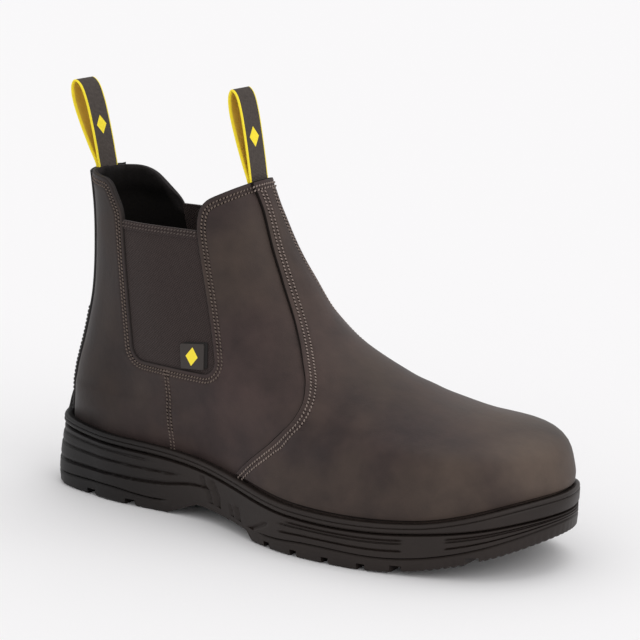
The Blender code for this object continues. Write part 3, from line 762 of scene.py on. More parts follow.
def panel(outline, lift, thickness, relief=None, edge=0.45, step=2.8, lines=(), sunk=None):
    """Points and faces of a sheet cut to an outline on the last, with rounded edges and a back.
    The outline is a list of (line, joins), run anticlockwise as seen from outside. A line that joins
    meets another edge of the same sheet, so it gets no edge of its own."""
    border, joins = [], []
    for line, joined in outline:
        line = line if joined else even(line, BORDER_STEP)
        border.append(line[:-1])
        joins += [joined] * (len(line) - 1)
    border, joins = np.vstack(border), np.array(joins)
    held = joins | np.roll(joins, 1)
    rounding = np.where(held, 0.0, edge)
    skin = shifted(border, rounding, closed=True)
    u = np.arange(skin[:, 0].min(), skin[:, 0].max(), step / LAST_TURN)
    v = np.arange(skin[:, 1].min(), skin[:, 1].max(), step * ROW_SPACING / LAST_HEIGHT)
    grid = np.array([(a + (k % 2) * step / 2.0 / LAST_TURN, b) for k, b in enumerate(v) for a in u])
    grid = grid[inside(grid, skin)]
    grid = grid[nearest_distance(flat(grid), flat(skin)) > FREE_TO_BORDER]
    for line in lines:
        line = line[inside(line, skin)]
        line = line[nearest_distance(flat(line), flat(skin)) > GUIDE_TO_BORDER]
        grid = grid[nearest_distance(flat(grid), flat(line)) > FREE_TO_GUIDE]
        grid = np.vstack([grid, line])
    shares, triangles = triangulated(skin, grid)
    top = lift + thickness

    def raised(where, height):
        points = on_last(where, height)
        if relief is None:
            return points
        return points + normals_on_last(where) * relief(on_last(where))[:, None]

    rings = [
        raised(shifted(border, rounding * EDGE_BREAK, closed=True), top - edge * EDGE_BREAK),
        raised(border, top - edge),
        on_last(border, lift),
    ]
    count, full = len(border), len(shares)
    behind = on_last(shares, lift)
    if sunk is not None:
        behind -= normals_on_last(shares) * sunk(behind)[:, None]
    points = np.vstack([raised(shares, top), *rings, behind])
    back = full + 3 * count
    faces = [tuple(t) for t in triangles] + [tuple(t[::-1] + back) for t in triangles]
    levels = [0, full, full + count, full + 2 * count, back]
    for low, high in zip(levels[1:], levels[:-1]):
        for i in range(count):
            if joins[i]:
                continue
            j = (i + 1) % count
            faces.append((low + i, low + j, high + j, high + i))
    return points, faces


def end_to_end(lines):
    """An outline for a panel from lines, each carried on to where the next one starts."""
    return [(np.vstack([line, after[:1]]), False) for line, after in zip(lines, lines[1:] + lines[:1])]


def merged(obj):
    """Joins edges of one sheet that lie on each other."""
    work = bmesh_from(obj)
    bmesh.ops.remove_doubles(work, verts=work.verts, dist=0.02 * MM)
    work.to_mesh(obj.data)
    work.free()


def bmesh_from(obj):
    work = bmesh.new()
    work.from_mesh(obj.data)
    return work


def linear(colour):
    """A colour written as sRGB hex, as linear red, green, blue and alpha."""
    parts = [int(colour[i : i + 2], 16) / 255.0 for i in (1, 3, 5)]
    return (*(c / 12.92 if c <= 0.04045 else ((c + 0.055) / 1.055) ** 2.4 for c in parts), 1.0)


def add(tree, kind, inputs=None, **settings):
    """A node with its settings, and its inputs set to values or linked to sockets."""
    node = tree.nodes.new(kind)
    for name, value in settings.items():
        setattr(node, name, value)
    for name, value in (inputs or {}).items():
        if isinstance(value, bpy.types.NodeSocket):
            tree.links.new(value, node.inputs[name])
        else:
            node.inputs[name].default_value = value
    return node


def finished(tree, shader, colour, roughness, specular):
    """Links a surface's colour and sets its gloss."""
    tree.links.new(colour, shader.inputs["Base Color"])
    shader.inputs["Roughness"].default_value = roughness
    shader.inputs["Specular IOR Level"].default_value = specular


def new_material(name):
    material = bpy.data.materials.new(name)
    material.use_nodes = True
    tree = material.node_tree
    shader = tree.nodes["Principled BSDF"]
    return material, tree, shader


# Paler places, partly rubbed wear and partly painted highlight where the light falls on the toe and instep:
# x, y, z and reach in m, and strength
WORN_AND_LIT_SPOTS = (
    (0.138, -0.006, 0.058, 0.040, 1.0),
    (0.104, 0.012, 0.066, 0.050, 0.55),
    (0.112, -0.040, 0.045, 0.035, 0.45),
    (0.020, -0.010, 0.100, 0.060, 0.22),
    (-0.018, -0.010, 0.140, 0.050, 0.15),
    (-0.081, -0.034, 0.062, 0.016, 0.20),
)


def nubuck():
    """Oiled nubuck: sanded full-grain leather, dull, mottled where the oil has moved, with a fine nap."""
    name = "oiled nubuck leather"
    if name in bpy.data.materials:
        return bpy.data.materials[name]
    material, tree, shader = new_material(name)
    look = bpy.context.scene.boot_leather
    place = add(tree, "ShaderNodeTexCoord").outputs["Object"]
    # Oil moves in patches of about 30 mm, and in smaller clouds of about 11 mm
    patches = add(
        tree, "ShaderNodeTexNoise", {"Vector": place, "Scale": 30.0, "Detail": 3.0, "Roughness": 0.55}
    ).outputs["Fac"]
    patches = add(
        tree, "ShaderNodeMapRange", {"Value": patches, "From Min": 0.36, "From Max": 0.64}
    ).outputs["Result"]
    clouds = add(
        tree, "ShaderNodeTexNoise", {"Vector": place, "Scale": 90.0, "Detail": 4.0, "Roughness": 0.6}
    ).outputs["Fac"]
    clouds = add(
        tree, "ShaderNodeMapRange", {"Value": clouds, "From Min": 0.25, "From Max": 0.75}
    ).outputs["Result"]
    mottle = add(tree, "ShaderNodeMath", {0: patches, 1: 0.65}, operation="MULTIPLY").outputs[0]
    mottle = add(
        tree, "ShaderNodeMath", {0: clouds, 1: 0.35, 2: mottle}, operation="MULTIPLY_ADD"
    ).outputs[0]
    base = add(
        tree, "ShaderNodeMix", {0: mottle, 6: linear(look.dark), 7: linear(look.light)}, data_type="RGBA"
    ).outputs[2]
    # Patches lean to red or to olive
    tint = add(tree, "ShaderNodeTexNoise", {"Vector": place, "Scale": 15.0, "Detail": 2.0}).outputs["Fac"]
    tint = add(
        tree, "ShaderNodeMapRange", {"Value": tint, "From Min": 0.4, "From Max": 0.6}
    ).outputs["Result"]
    hue = add(
        tree, "ShaderNodeMix", {0: tint, 6: linear("#fff0ee"), 7: linear("#fbf5e6")}, data_type="RGBA"
    ).outputs[2]
    base = add(
        tree, "ShaderNodeMix", {0: 1.0, 6: base, 7: hue}, data_type="RGBA", blend_type="MULTIPLY"
    ).outputs[2]
    # Painted shade: the leather is made darker towards the heel, which faces away from the light
    along = add(tree, "ShaderNodeSeparateXYZ", {0: place}).outputs["X"]
    oil = add(
        tree,
        "ShaderNodeMapRange",
        {"Value": along, "From Min": -0.15, "From Max": -0.02, "To Min": 1.0, "To Max": 0.0},
        interpolation_type="SMOOTHSTEP",
    ).outputs["Result"]
    # The base colour darkened for the heel, as painted shade
    oiled = add(
        tree,
        "ShaderNodeMix",
        {0: 1.0, 6: base, 7: linear("#b9b4b6")},
        data_type="RGBA",
        blend_type="MULTIPLY",
    ).outputs[2]
    base = add(tree, "ShaderNodeMix", {0: oil, 6: base, 7: oiled}, data_type="RGBA").outputs[2]
    # Rubbed wear and painted highlight: the leather is made paler at these spots on the toe and instep
    rubbed = 0.0
    for x, y, z, reach, strength in WORN_AND_LIT_SPOTS:
        away = add(tree, "ShaderNodeVectorMath", {0: place, 1: (x, y, z)}, operation="DISTANCE")
        fading = {"Value": away.outputs["Value"], "From Max": reach, "To Min": strength, "To Max": 0.0}
        spot = add(tree, "ShaderNodeMapRange", fading, interpolation_type="SMOOTHSTEP").outputs["Result"]
        rubbed = add(tree, "ShaderNodeMath", {0: rubbed, 1: spot}, operation="MAXIMUM").outputs[0]
    uneven = add(tree, "ShaderNodeMapRange", {"Value": clouds, "To Min": 0.6}).outputs["Result"]
    rubbed = add(tree, "ShaderNodeMath", {0: rubbed, 1: uneven}, operation="MULTIPLY").outputs[0]
    worn_and_lit = add(
        tree, "ShaderNodeMix", {0: rubbed, 6: base, 7: linear(look.worn_and_lit)}, data_type="RGBA"
    ).outputs[2]
    tree.links.new(worn_and_lit, shader.inputs["Base Color"])
    range_of_gloss = {"Value": mottle, "To Min": 0.54, "To Max": 0.68}
    roughness = add(tree, "ShaderNodeMapRange", range_of_gloss).outputs["Result"]
    tree.links.new(roughness, shader.inputs["Roughness"])
    # The grain is about 0.2 mm on the real leather and is drawn at 0.6 mm so that it shows
    grain = add(
        tree, "ShaderNodeTexNoise", {"Vector": place, "Scale": 1600.0, "Detail": 3.0, "Roughness": 0.6}
    ).outputs["Fac"]
    nap = add(tree, "ShaderNodeTexNoise", {"Vector": place, "Scale": 260.0, "Detail": 3.0}).outputs["Fac"]
    fine = add(tree, "ShaderNodeBump", {"Height": grain, "Strength": 0.35, "Distance": 0.0002})
    over = {"Height": nap, "Strength": 0.3, "Distance": 0.0004, "Normal": fine.outputs["Normal"]}
    soft = add(tree, "ShaderNodeBump", over)
    tree.links.new(soft.outputs["Normal"], shader.inputs["Normal"])
    shader.inputs["Specular IOR Level"].default_value = 0.25
    shader.inputs["Sheen Weight"].default_value = 0.05
    shader.inputs["Sheen Roughness"].default_value = 0.5
    return material


def cut_edge():
    """Leather's cut edge, rolled and inked before the panels are sewn."""
    return plain_material("inked cut edge", "#221b19", 0.6, specular=0.25, grain=1500.0)


def lapped_edge_and_shade():
    """The vamp's cut edge where it laps over the quarters, left raw and waxed. Its near black is partly that
    finish and partly painted shade of the gap under the edge.
    """
    return plain_material("lapped edge with painted shade", "#1a1513", 0.8, specular=0.1, grain=1500.0)


def lining_cloth():
    """Brushed black cloth, with a dark band of binding along the collar."""
    material, tree, shader = new_material("brushed lining cloth")
    place = add(tree, "ShaderNodeTexCoord").outputs["Object"]
    band = add(tree, "ShaderNodeAttribute", attribute_name="collar_band").outputs["Fac"]
    weave = add(tree, "ShaderNodeTexNoise", {"Vector": place, "Scale": 900.0, "Detail": 3.0}).outputs["Fac"]
    cloth = add(
        tree, "ShaderNodeMix", {0: weave, 6: linear("#0c0a09"), 7: linear("#141110")}, data_type="RGBA"
    ).outputs[2]
    bound = add(
        tree, "ShaderNodeMix", {0: weave, 6: linear("#1d1a1a"), 7: linear("#343030")}, data_type="RGBA"
    ).outputs[2]
    colour = add(tree, "ShaderNodeMix", {0: band, 6: cloth, 7: bound}, data_type="RGBA").outputs[2]
    finished(tree, shader, colour, 0.9, 0.15)
    bump = add(tree, "ShaderNodeBump", {"Height": weave, "Strength": 0.6, "Distance": 0.0003})
    tree.links.new(bump.outputs["Normal"], shader.inputs["Normal"])
    return material


def plain_material(
    name, colour, roughness, specular=0.35, grain=900.0, depth=0.0001, strength=0.3, tone=0.25, shade_at_heel=None
):
    """A surface of one colour that varies a little, with a fine bump: cast, coated or woven. It may
    turn darker towards the heel, as painted shade."""
    if name in bpy.data.materials:
        return bpy.data.materials[name]
    material, tree, shader = new_material(name)
    place = add(tree, "ShaderNodeTexCoord").outputs["Object"]
    patches = add(
        tree, "ShaderNodeTexNoise", {"Vector": place, "Scale": 35.0, "Detail": 3.0}
    ).outputs["Fac"]
    full = linear(colour)
    darker = (*(c * (1.0 - tone) for c in full[:3]), 1.0)
    lighter = (*(c * (1.0 + tone) for c in full[:3]), 1.0)
    mixed = add(tree, "ShaderNodeMix", {0: patches, 6: darker, 7: lighter}, data_type="RGBA").outputs[2]
    # Painted shade: the colour turns darker towards the heel
    if shade_at_heel is not None:
        along = add(tree, "ShaderNodeSeparateXYZ", {0: place}).outputs["X"]
        heel = add(
            tree,
            "ShaderNodeMapRange",
            {"Value": along, "From Min": -0.12, "From Max": -0.03, "To Min": 1.0, "To Max": 0.0},
            interpolation_type="SMOOTHSTEP",
        ).outputs["Result"]
        mixed = add(
            tree, "ShaderNodeMix", {0: heel, 6: mixed, 7: linear(shade_at_heel)}, data_type="RGBA"
        ).outputs[2]
    finished(tree, shader, mixed, roughness, specular)
    fine = add(tree, "ShaderNodeTexNoise", {"Vector": place, "Scale": grain, "Detail": 2.0}).outputs["Fac"]
    bump = add(tree, "ShaderNodeBump", {"Height": fine, "Strength": strength, "Distance": depth})
    tree.links.new(bump.outputs["Normal"], shader.inputs["Normal"])
    return material


def sole_rubber():
    """Moulded polyurethane: near black, with the soft sheen of a fine-etched mould."""
    look = bpy.context.scene.boot_sole
    skin = {"specular": 0.25, "depth": 0.00025, "grain": 700.0}
    # Painted shade: the sole is made darker towards the heel
    return plain_material("moulded polyurethane", look.colour, 0.5, shade_at_heel=look.heel_shade_colour, **skin)


# Lean of the gore's ribs, in degrees
RIB_LEAN = -12.4


def elastic():
    """Woven elastic: rubber ribs under fine yarn, all matt."""
    name = "ribbed woven elastic"
    if name in bpy.data.materials:
        return bpy.data.materials[name]
    material, tree, shader = new_material(name)
    settings = bpy.context.scene.boot_gore
    place = add(tree, "ShaderNodeTexCoord").outputs["Object"]
    turned = add(tree, "ShaderNodeMapping", {"Vector": place, "Rotation": (0.0, math.radians(RIB_LEAN), 0.0)})
    parts = add(tree, "ShaderNodeSeparateXYZ", {"Vector": turned.outputs["Vector"]})
    turns = 2.0 * math.pi / (settings.rib_pitch * MM)
    picks = 2.0 * math.pi / (settings.yarn_pitch * MM)
    ribs = add(tree, "ShaderNodeMath", {0: parts.outputs["X"], 1: turns}, operation="MULTIPLY").outputs[0]
    rows = add(tree, "ShaderNodeMath", {0: parts.outputs["Z"], 1: picks}, operation="MULTIPLY").outputs[0]
    wave = add(tree, "ShaderNodeMath", {0: ribs}, operation="SINE").outputs[0]
    pick = add(tree, "ShaderNodeMath", {0: rows}, operation="SINE").outputs[0]
    weave = add(tree, "ShaderNodeMath", {0: wave, 1: pick}, operation="MULTIPLY").outputs[0]
    yarn = add(tree, "ShaderNodeTexNoise", {"Vector": place, "Scale": 700.0, "Detail": 3.0}).outputs["Fac"]
    height = add(tree, "ShaderNodeMath", {0: weave, 1: yarn}, operation="ADD").outputs[0]
    bump = add(tree, "ShaderNodeBump", {"Height": height, "Strength": 0.5, "Distance": 0.0003})
    tree.links.new(bump.outputs["Normal"], shader.inputs["Normal"])
    share = add(
        tree, "ShaderNodeMapRange", {"Value": height, "From Min": -0.6, "From Max": 1.4}
    ).outputs["Result"]
    colour = add(
        tree,
        "ShaderNodeMix",
        {0: share, 6: linear(settings.dark), 7: linear(settings.light)},
        data_type="RGBA",
    ).outputs[2]
    finished(tree, shader, colour, 0.85, 0.2)
    shader.inputs["Sheen Weight"].default_value = 0.1
    return material


def diamond(tree, across, along, centre, half_sizes):
    """1 inside a diamond about a centre, 0 outside, from two coordinates."""
    parts = []
    for value, middle, half in zip((across, along), centre, half_sizes):
        off = add(tree, "ShaderNodeMath", {0: value, 1: middle}, operation="SUBTRACT").outputs[0]
        off = add(tree, "ShaderNodeMath", {0: off}, operation="ABSOLUTE").outputs[0]
        parts.append(add(tree, "ShaderNodeMath", {0: off, 1: half}, operation="DIVIDE").outputs[0])
    total = add(tree, "ShaderNodeMath", {0: parts[0], 1: parts[1]}, operation="ADD").outputs[0]
    return add(tree, "ShaderNodeMath", {0: total, 1: 1.0}, operation="LESS_THAN").outputs[0]


# Length of a loop's tape and spacing of its picks, in mm, and half sizes of its diamond as shares of
# the tape's width and length
TAPE_LENGTH, PICK_SPACING, TAPE_DIAMOND = 130.0, 0.8, (0.27, 0.045)


def tape_material(mark_at):
    """Woven tape, dark outside, yellow on its inner face and along both edges, with a plain diamond.
    Its UV map runs across the tape (0 to 1 outside, 2 to 3 inside) and along it."""
    material, tree, shader = new_material(f"woven pull tape {mark_at:.2f}")
    settings = bpy.context.scene.boot_loops
    on_tape = add(tree, "ShaderNodeUVMap", uv_map="tape").outputs[0]
    parts = add(tree, "ShaderNodeSeparateXYZ", {"Vector": on_tape})
    across, along = parts.outputs["X"], parts.outputs["Y"]
    low = add(tree, "ShaderNodeMath", {0: across, 1: settings.edge_share}, operation="LESS_THAN").outputs[0]
    high = add(
        tree, "ShaderNodeMath", {0: across, 1: 1.0 - settings.edge_share}, operation="GREATER_THAN"
    ).outputs[0]
    yellow = add(tree, "ShaderNodeMath", {0: low, 1: high}, operation="MAXIMUM").outputs[0]
    # Away from its edges the inner face is a duller yellow: the tape's own yellow, darkened as painted shade
    off_middle = add(tree, "ShaderNodeMath", {0: across, 1: 2.5}, operation="SUBTRACT").outputs[0]
    off_middle = add(tree, "ShaderNodeMath", {0: off_middle}, operation="ABSOLUTE").outputs[0]
    inner = add(tree, "ShaderNodeMath", {0: off_middle, 1: 0.42}, operation="LESS_THAN").outputs[0]
    mark = diamond(tree, across, along, (0.5, mark_at), TAPE_DIAMOND)
    yellow = add(tree, "ShaderNodeMath", {0: yellow, 1: mark}, operation="MAXIMUM").outputs[0]
    place = add(tree, "ShaderNodeTexCoord").outputs["Object"]
    yarns = add(tree, "ShaderNodeTexNoise", {"Vector": place, "Scale": 700.0, "Detail": 3.0}).outputs["Fac"]
    dark = add(
        tree,
        "ShaderNodeMix",
        {0: yarns, 6: linear(settings.tape), 7: linear(settings.tape_light)},
        data_type="RGBA",
    ).outputs[2]
    colour = add(
        tree, "ShaderNodeMix", {0: yellow, 6: dark, 7: linear(settings.edge)}, data_type="RGBA"
    ).outputs[2]
    colour = add(
        tree, "ShaderNodeMix", {0: inner, 6: colour, 7: linear(settings.inside)}, data_type="RGBA"
    ).outputs[2]
    finished(tree, shader, colour, 0.8, 0.25)
    # Picks of the weave across the tape
    turns = add(
        tree,
        "ShaderNodeMath",
        {0: along, 1: 2.0 * math.pi * TAPE_LENGTH / PICK_SPACING},
        operation="MULTIPLY",
    ).outputs[0]
    picks = add(tree, "ShaderNodeMath", {0: turns}, operation="SINE").outputs[0]
    yarn = add(tree, "ShaderNodeTexNoise", {"Vector": place, "Scale": 1500.0, "Detail": 2.0}).outputs["Fac"]
    height = add(tree, "ShaderNodeMath", {0: picks, 1: yarn}, operation="ADD").outputs[0]
    bump = add(tree, "ShaderNodeBump", {"Height": height, "Strength": 0.4, "Distance": 0.0002})
    tree.links.new(bump.outputs["Normal"], shader.inputs["Normal"])
    return material


# Least and greatest half length of a bead, as a share of the stitch's length
BEAD_HALF_LENGTHS = (0.42, 0.54)


def stitch_tree():
    """Geometry nodes that lay stitches along lines on the last. Each is a bead of thread that lies on
    the leather and dips into it at both ends."""
    name = "stitches along a line"
    if name in bpy.data.node_groups:
        return bpy.data.node_groups[name]
    tree = bpy.data.node_groups.new(name, "GeometryNodeTree")
    sockets = tree.interface
    sockets.new_socket("Geometry", in_out="INPUT", socket_type="NodeSocketGeometry")
    for label in ("Pitch", "Start", "Stitch length", "Stitch width", "Stitch height", "Slant"):
        sockets.new_socket(label, in_out="INPUT", socket_type="NodeSocketFloat")
    sockets.new_socket("Thread", in_out="INPUT", socket_type="NodeSocketMaterial")
    sockets.new_socket("Geometry", in_out="OUTPUT", socket_type="NodeSocketGeometry")
    given = add(tree, "NodeGroupInput").outputs
    curve = add(tree, "GeometryNodeMeshToCurve", {"Mesh": given["Geometry"]}).outputs[0]
    trimmed = add(tree, "GeometryNodeTrimCurve", {"Curve": curve}, mode="LENGTH")
    tree.links.new(given["Start"], trimmed.inputs[4])
    length = add(tree, "GeometryNodeSplineLength").outputs["Length"]
    end = add(tree, "ShaderNodeMath", {0: length, 1: given["Start"]}, operation="SUBTRACT").outputs[0]
    tree.links.new(end, trimmed.inputs[5])
    spaced = {"Curve": trimmed.outputs[0], "Length": given["Pitch"]}
    points = add(tree, "GeometryNodeResampleCurve", spaced, mode="LENGTH")
    off = add(tree, "GeometryNodeInputNamedAttribute", {"Name": "off_leather"}, data_type="FLOAT_VECTOR")
    off = {"Vector": off.outputs["Attribute"]}
    upright = add(tree, "FunctionNodeAlignRotationToVector", off, axis="Z").outputs[0]
    tangent = add(tree, "GeometryNodeInputTangent").outputs[0]
    along = {"Rotation": upright, "Vector": tangent}
    turned = add(tree, "FunctionNodeAlignRotationToVector", along, axis="X", pivot_axis="Z").outputs[0]
    slant = add(tree, "ShaderNodeCombineXYZ", {"Z": given["Slant"]}).outputs[0]
    slant = add(tree, "FunctionNodeEulerToRotation", {"Euler": slant}).outputs[0]
    twist = {"Rotation": turned, "Rotate By": slant}
    turned = add(tree, "FunctionNodeRotateRotation", twist, rotation_space="LOCAL").outputs[0]
    # A Random Value node keeps the sockets of a float third and fourth
    shortest, longest = BEAD_HALF_LENGTHS
    spread = {2: shortest, 3: longest, "Seed": 7}
    wobble = add(tree, "FunctionNodeRandomValue", spread, data_type="FLOAT").outputs[1]
    long = add(
        tree, "ShaderNodeMath", {0: given["Stitch length"], 1: wobble}, operation="MULTIPLY"
    ).outputs[0]
    wide = add(tree, "ShaderNodeMath", {0: given["Stitch width"], 1: 0.5}, operation="MULTIPLY").outputs[0]
    high = add(tree, "ShaderNodeMath", {0: given["Stitch height"], 1: 0.5}, operation="MULTIPLY").outputs[0]
    size = add(tree, "ShaderNodeCombineXYZ", {"X": long, "Y": wide, "Z": high}).outputs[0]
    bead = add(tree, "GeometryNodeMeshUVSphere", {"Segments": 8, "Rings": 4, "Radius": 1.0}).outputs[0]
    beads = {"Points": points.outputs[0], "Instance": bead, "Rotation": turned, "Scale": size}
    laid = add(tree, "GeometryNodeInstanceOnPoints", beads).outputs[0]
    real = add(tree, "GeometryNodeRealizeInstances", {"Geometry": laid}).outputs[0]
    smooth = add(tree, "GeometryNodeSetShadeSmooth", {"Geometry": real}).outputs[0]
    done = add(
        tree, "GeometryNodeSetMaterial", {"Geometry": smooth, "Material": given["Thread"]}
    ).outputs[0]
    add(tree, "NodeGroupOutput", {"Geometry": done})
    return tree


# Height of the dark spot of painted shade that stands for a needle hole, and how far it sits below the
# thread, in mm
HOLE_DEPTH, HOLE_SINK = 0.3, 0.16


def lay_stitches(name, rows, material, slot, holes=False, length=None, thickness=None):
    """One mesh of stitches from rows, each a line of points in mm and of directions off the leather.
    With holes, it is dark spots of painted shade for the holes between the stitches of such rows instead,
    where the needle went through."""
    look = bpy.context.scene.boot_stitches
    length, thickness = length or look.length, thickness or look.thickness
    points, edges, normals = [], [], []
    for line, off in rows:
        start = len(points)
        points += [tuple(p) for p in line * MM]
        normals += list(off)
        edges += [(start + i, start + i + 1) for i in range(len(line) - 1)]
    path = bpy.data.meshes.new(name + " path")
    path.from_pydata(points, edges, [])
    path.attributes.new("off_leather", "FLOAT_VECTOR", "POINT").data.foreach_set("vector", np.ravel(normals))
    carrier = linked(name + " path", path)
    modifier = carrier.modifiers.new("stitches", "NODES")
    modifier.node_group = stitch_tree()
    pitch = length + look.gap
    start, long, wide, high, slant = 0.0, length, thickness, thickness, math.radians(look.slant)
    if holes:
        start, long, wide, high, slant = pitch / 2.0, look.hole, look.hole, HOLE_DEPTH, 0.0
    values = {
        "Pitch": pitch * MM,
        "Start": start * MM,
        "Stitch length": long * MM,
        "Stitch width": wide * MM,
        "Stitch height": high * MM,
        "Slant": slant,
        "Thread": material,
    }
    for item in modifier.node_group.interface.items_tree:
        if item.name in values:
            modifier[item.identifier] = values[item.name]
    evaluated = carrier.evaluated_get(bpy.context.evaluated_depsgraph_get())
    mesh = bpy.data.meshes.new_from_object(evaluated)
    bpy.data.objects.remove(carrier)
    mesh.name = name
    if len(mesh.polygons) == 0:
        raise RuntimeError(f"{name} has no stitches")
    obj = linked(name, mesh)
    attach(obj, BODY)
    return obj


def sewn(line, lift):
    """A line of shares as points just proud of a surface lifted off the last, and their directions."""
    line = even(line, 1.0)
    return on_last(line, lift), normals_on_last(line)


# Distance of the vamp's first row from its edge and of the second from the first, in mm
VAMP_ROWS = {"lateral": (3.3, 2.5), "medial": (2.2, 2.2)}
# How far the collar's own rows reach down, in mm
HEM_DEPTH = 5.6


def hem_rows(side, first=2.8, between=2.0):
    """Two rows of stitches beside the collar line and round the gore window."""
    collar = even(collar_line(side), 1.0)
    sign = -1.0 if side == "lateral" else 1.0
    return [shifted(collar, sign * (first + n * between)) for n in range(2)]


def vamp_rows(side):
    """Two rows of stitches along the vamp's edge, which end under the collar's own rows."""
    first, between = VAMP_ROWS[side]
    seam = even(seam_line(side, RIM_SHARE), 1.0)
    sign = 1.0 if side == "lateral" else -1.0
    rows = []
    for n in range(2):
        distance = sign * (first + n * between)
        row = relaxed(even(unfolded(shifted(seam, distance), seam, distance), 1.0))
        rows.append(row[collar_distance(on_last(row)) > HEM_DEPTH])
    return rows


def quarter_rows(side, between=2.1):
    """The short double row below the gore."""
    line = placed(dense(QUARTER_SEAM), side)
    line = line[line[:, 1] > RIM_SHARE * 0.8]
    return [shifted(line, offset) for offset in (-between / 2.0, between / 2.0)]


# The leather's swell beside a row of stitches: height, distance from the row and width, in mm
PUFF, PUFF_AT, PUFF_WIDTH = 0.2, 1.5, 0.9


def seam_relief(stitch_lines, depth=0.35, width=0.8):
    """A function that gives how far the leather stands off its plain form at points on it: drawn in
    along the stitches and puffed up beside them."""
    tree = search_tree(np.vstack([on_last(line) for line in stitch_lines]))

    def relief(points):
        distance = distance_in(tree, points)
        puffed = PUFF * np.exp(-(((distance - PUFF_AT) / PUFF_WIDTH) ** 2))
        return puffed - depth * np.exp(-((distance / width) ** 2))

    return relief


def groove_guides(lines, beside=1.1):
    """Lines on and beside the stitches, so that the mesh can follow the grooves they pull."""
    lines = [even(line, 1.4) for line in lines]
    return lines + [shifted(line, offset) for line in lines for offset in (-beside, beside)]


def on_both_sides(*makers):
    """Lines of the lateral side and then of the medial one."""
    return [line for side in SIDES for make in makers for line in make(side)]


def full_turn():
    """Outline of a sheet that goes all the way round the last, up to the collar line."""
    lateral, medial = collar_line("lateral"), collar_line("medial")
    foot = np.column_stack([np.linspace(-0.5, 0.5, FOOT_POINTS), np.zeros(FOOT_POINTS)])
    rise = np.linspace(0.0, lateral[-1, 1], FRONT_POINTS)
    front = np.column_stack([np.full(FRONT_POINTS, 0.5), rise])
    return [
        (foot, False),
        (front, True),
        (lateral[::-1], False),
        (medial, False),
        (front[::-1] - (1.0, 0.0), True),
    ]


class LeatherLook(bpy.types.PropertyGroup):
    dark: bpy.props.StringProperty(
        name="Dark", description="Leather where the oil is deepest", default="#292121"
    )
    light: bpy.props.StringProperty(
        name="Light", description="Leather where it is rubbed", default="#463b39"
    )
    # Paler colour of the toe and instep spots: rubbed wear and painted highlight
    worn_and_lit: bpy.props.StringProperty(name="Worn", description="Leather on the toe", default="#5d4f45")
    thickness: bpy.props.FloatProperty(
        name="Thickness", description="Leather without its lining, in mm", default=1.4, min=0.8, max=2.5
    )
    collar_padding: bpy.props.FloatProperty(
        name="Collar padding", description="Padding inside the collar, in mm", default=3.7, min=0.0, max=6.0
    )


class StitchLook(bpy.types.PropertyGroup):
    colour: bpy.props.StringProperty(name="Thread", description="Colour of the thread", default="#81736c")
    # Painted shade: the same thread as on the vamp, drawn darker on the quarters where less light falls
    quarter_shaded_colour: bpy.props.StringProperty(
        name="Quarter thread", description="Colour of the thread on the quarters", default="#64574f"
    )
    length: bpy.props.FloatProperty(
        name="Length", description="Length of a stitch in mm", default=1.75, min=0.8
    )
    gap: bpy.props.FloatProperty(
        name="Gap", description="Gap between stitches in mm", default=0.15, min=0.1
    )
    thickness: bpy.props.FloatProperty(
        name="Thickness", description="Thickness of the thread in mm", default=0.95
    )
    hole: bpy.props.FloatProperty(name="Hole", description="Width of a needle hole shade in mm", default=1.1)
    slant: bpy.props.FloatProperty(name="Slant", description="Slant of a stitch in degrees", default=30.0)


class GoreLook(bpy.types.PropertyGroup):
    dark: bpy.props.StringProperty(name="Dark", description="Yarn between the ribs", default="#1e1716")
    light: bpy.props.StringProperty(name="Light", description="Yarn on the ribs", default="#3f3432")
    rib_pitch: bpy.props.FloatProperty(
        name="Rib pitch", description="Spacing of the ribs in mm", default=1.3
    )
    yarn_pitch: bpy.props.FloatProperty(
        name="Yarn pitch", description="Spacing of the picks in mm", default=1.6
    )


class LoopLook(bpy.types.PropertyGroup):
    tape: bpy.props.StringProperty(name="Tape", description="Outer face of the tape", default="#36302d")
    tape_light: bpy.props.StringProperty(name="Tape light", description="Raised yarns", default="#564e49")
    inside: bpy.props.StringProperty(name="Inside", description="Inner face of the tape", default="#d6b447")
    # Painted shade: the inner face's yellow, drawn duller than the edges
    edge: bpy.props.StringProperty(
        name="Edge", description="Edges of the tape, and the diamond", default="#ffe83c"
    )
    edge_share: bpy.props.FloatProperty(
        name="Edge share", description="Share of the width that is edge", default=0.035, subtype="FACTOR"
    )


class SoleLook(bpy.types.PropertyGroup):
    colour: bpy.props.StringProperty(name="Colour", description="Colour of the sole", default="#28211e")
    # Painted shade: the darker colour that the sole takes towards the heel
    heel_shade_colour: bpy.props.StringProperty(
        name="Heel", description="Colour of the sole at the heel", default="#131010"
    )
    groove: bpy.props.FloatProperty(
        name="Groove", description="Depth of the wall's grooves in mm", default=1.5
    )


class StageLook(bpy.types.PropertyGroup):
    floor: bpy.props.StringProperty(name="Floor", description="Colour of the floor", default="#f5f4f5")
    fill: bpy.props.FloatProperty(name="Fill", description="Brightness of the surroundings", default=0.81)
    top: bpy.props.FloatProperty(
        name="Top light", description="Strength of the light from above", default=0.4
    )
    front: bpy.props.FloatProperty(
        name="Front light", description="Strength of the toe's light", default=0.62
    )


def ring_faces(ring_count, columns, closed_profile=False):
    faces = []
    for r in range(ring_count if closed_profile else ring_count - 1):
        low, high = r * columns, ((r + 1) % ring_count) * columns
        for c in range(columns):
            d = (c + 1) % columns
            faces.append((low + c, low + d, high + d, high + c))
    return faces


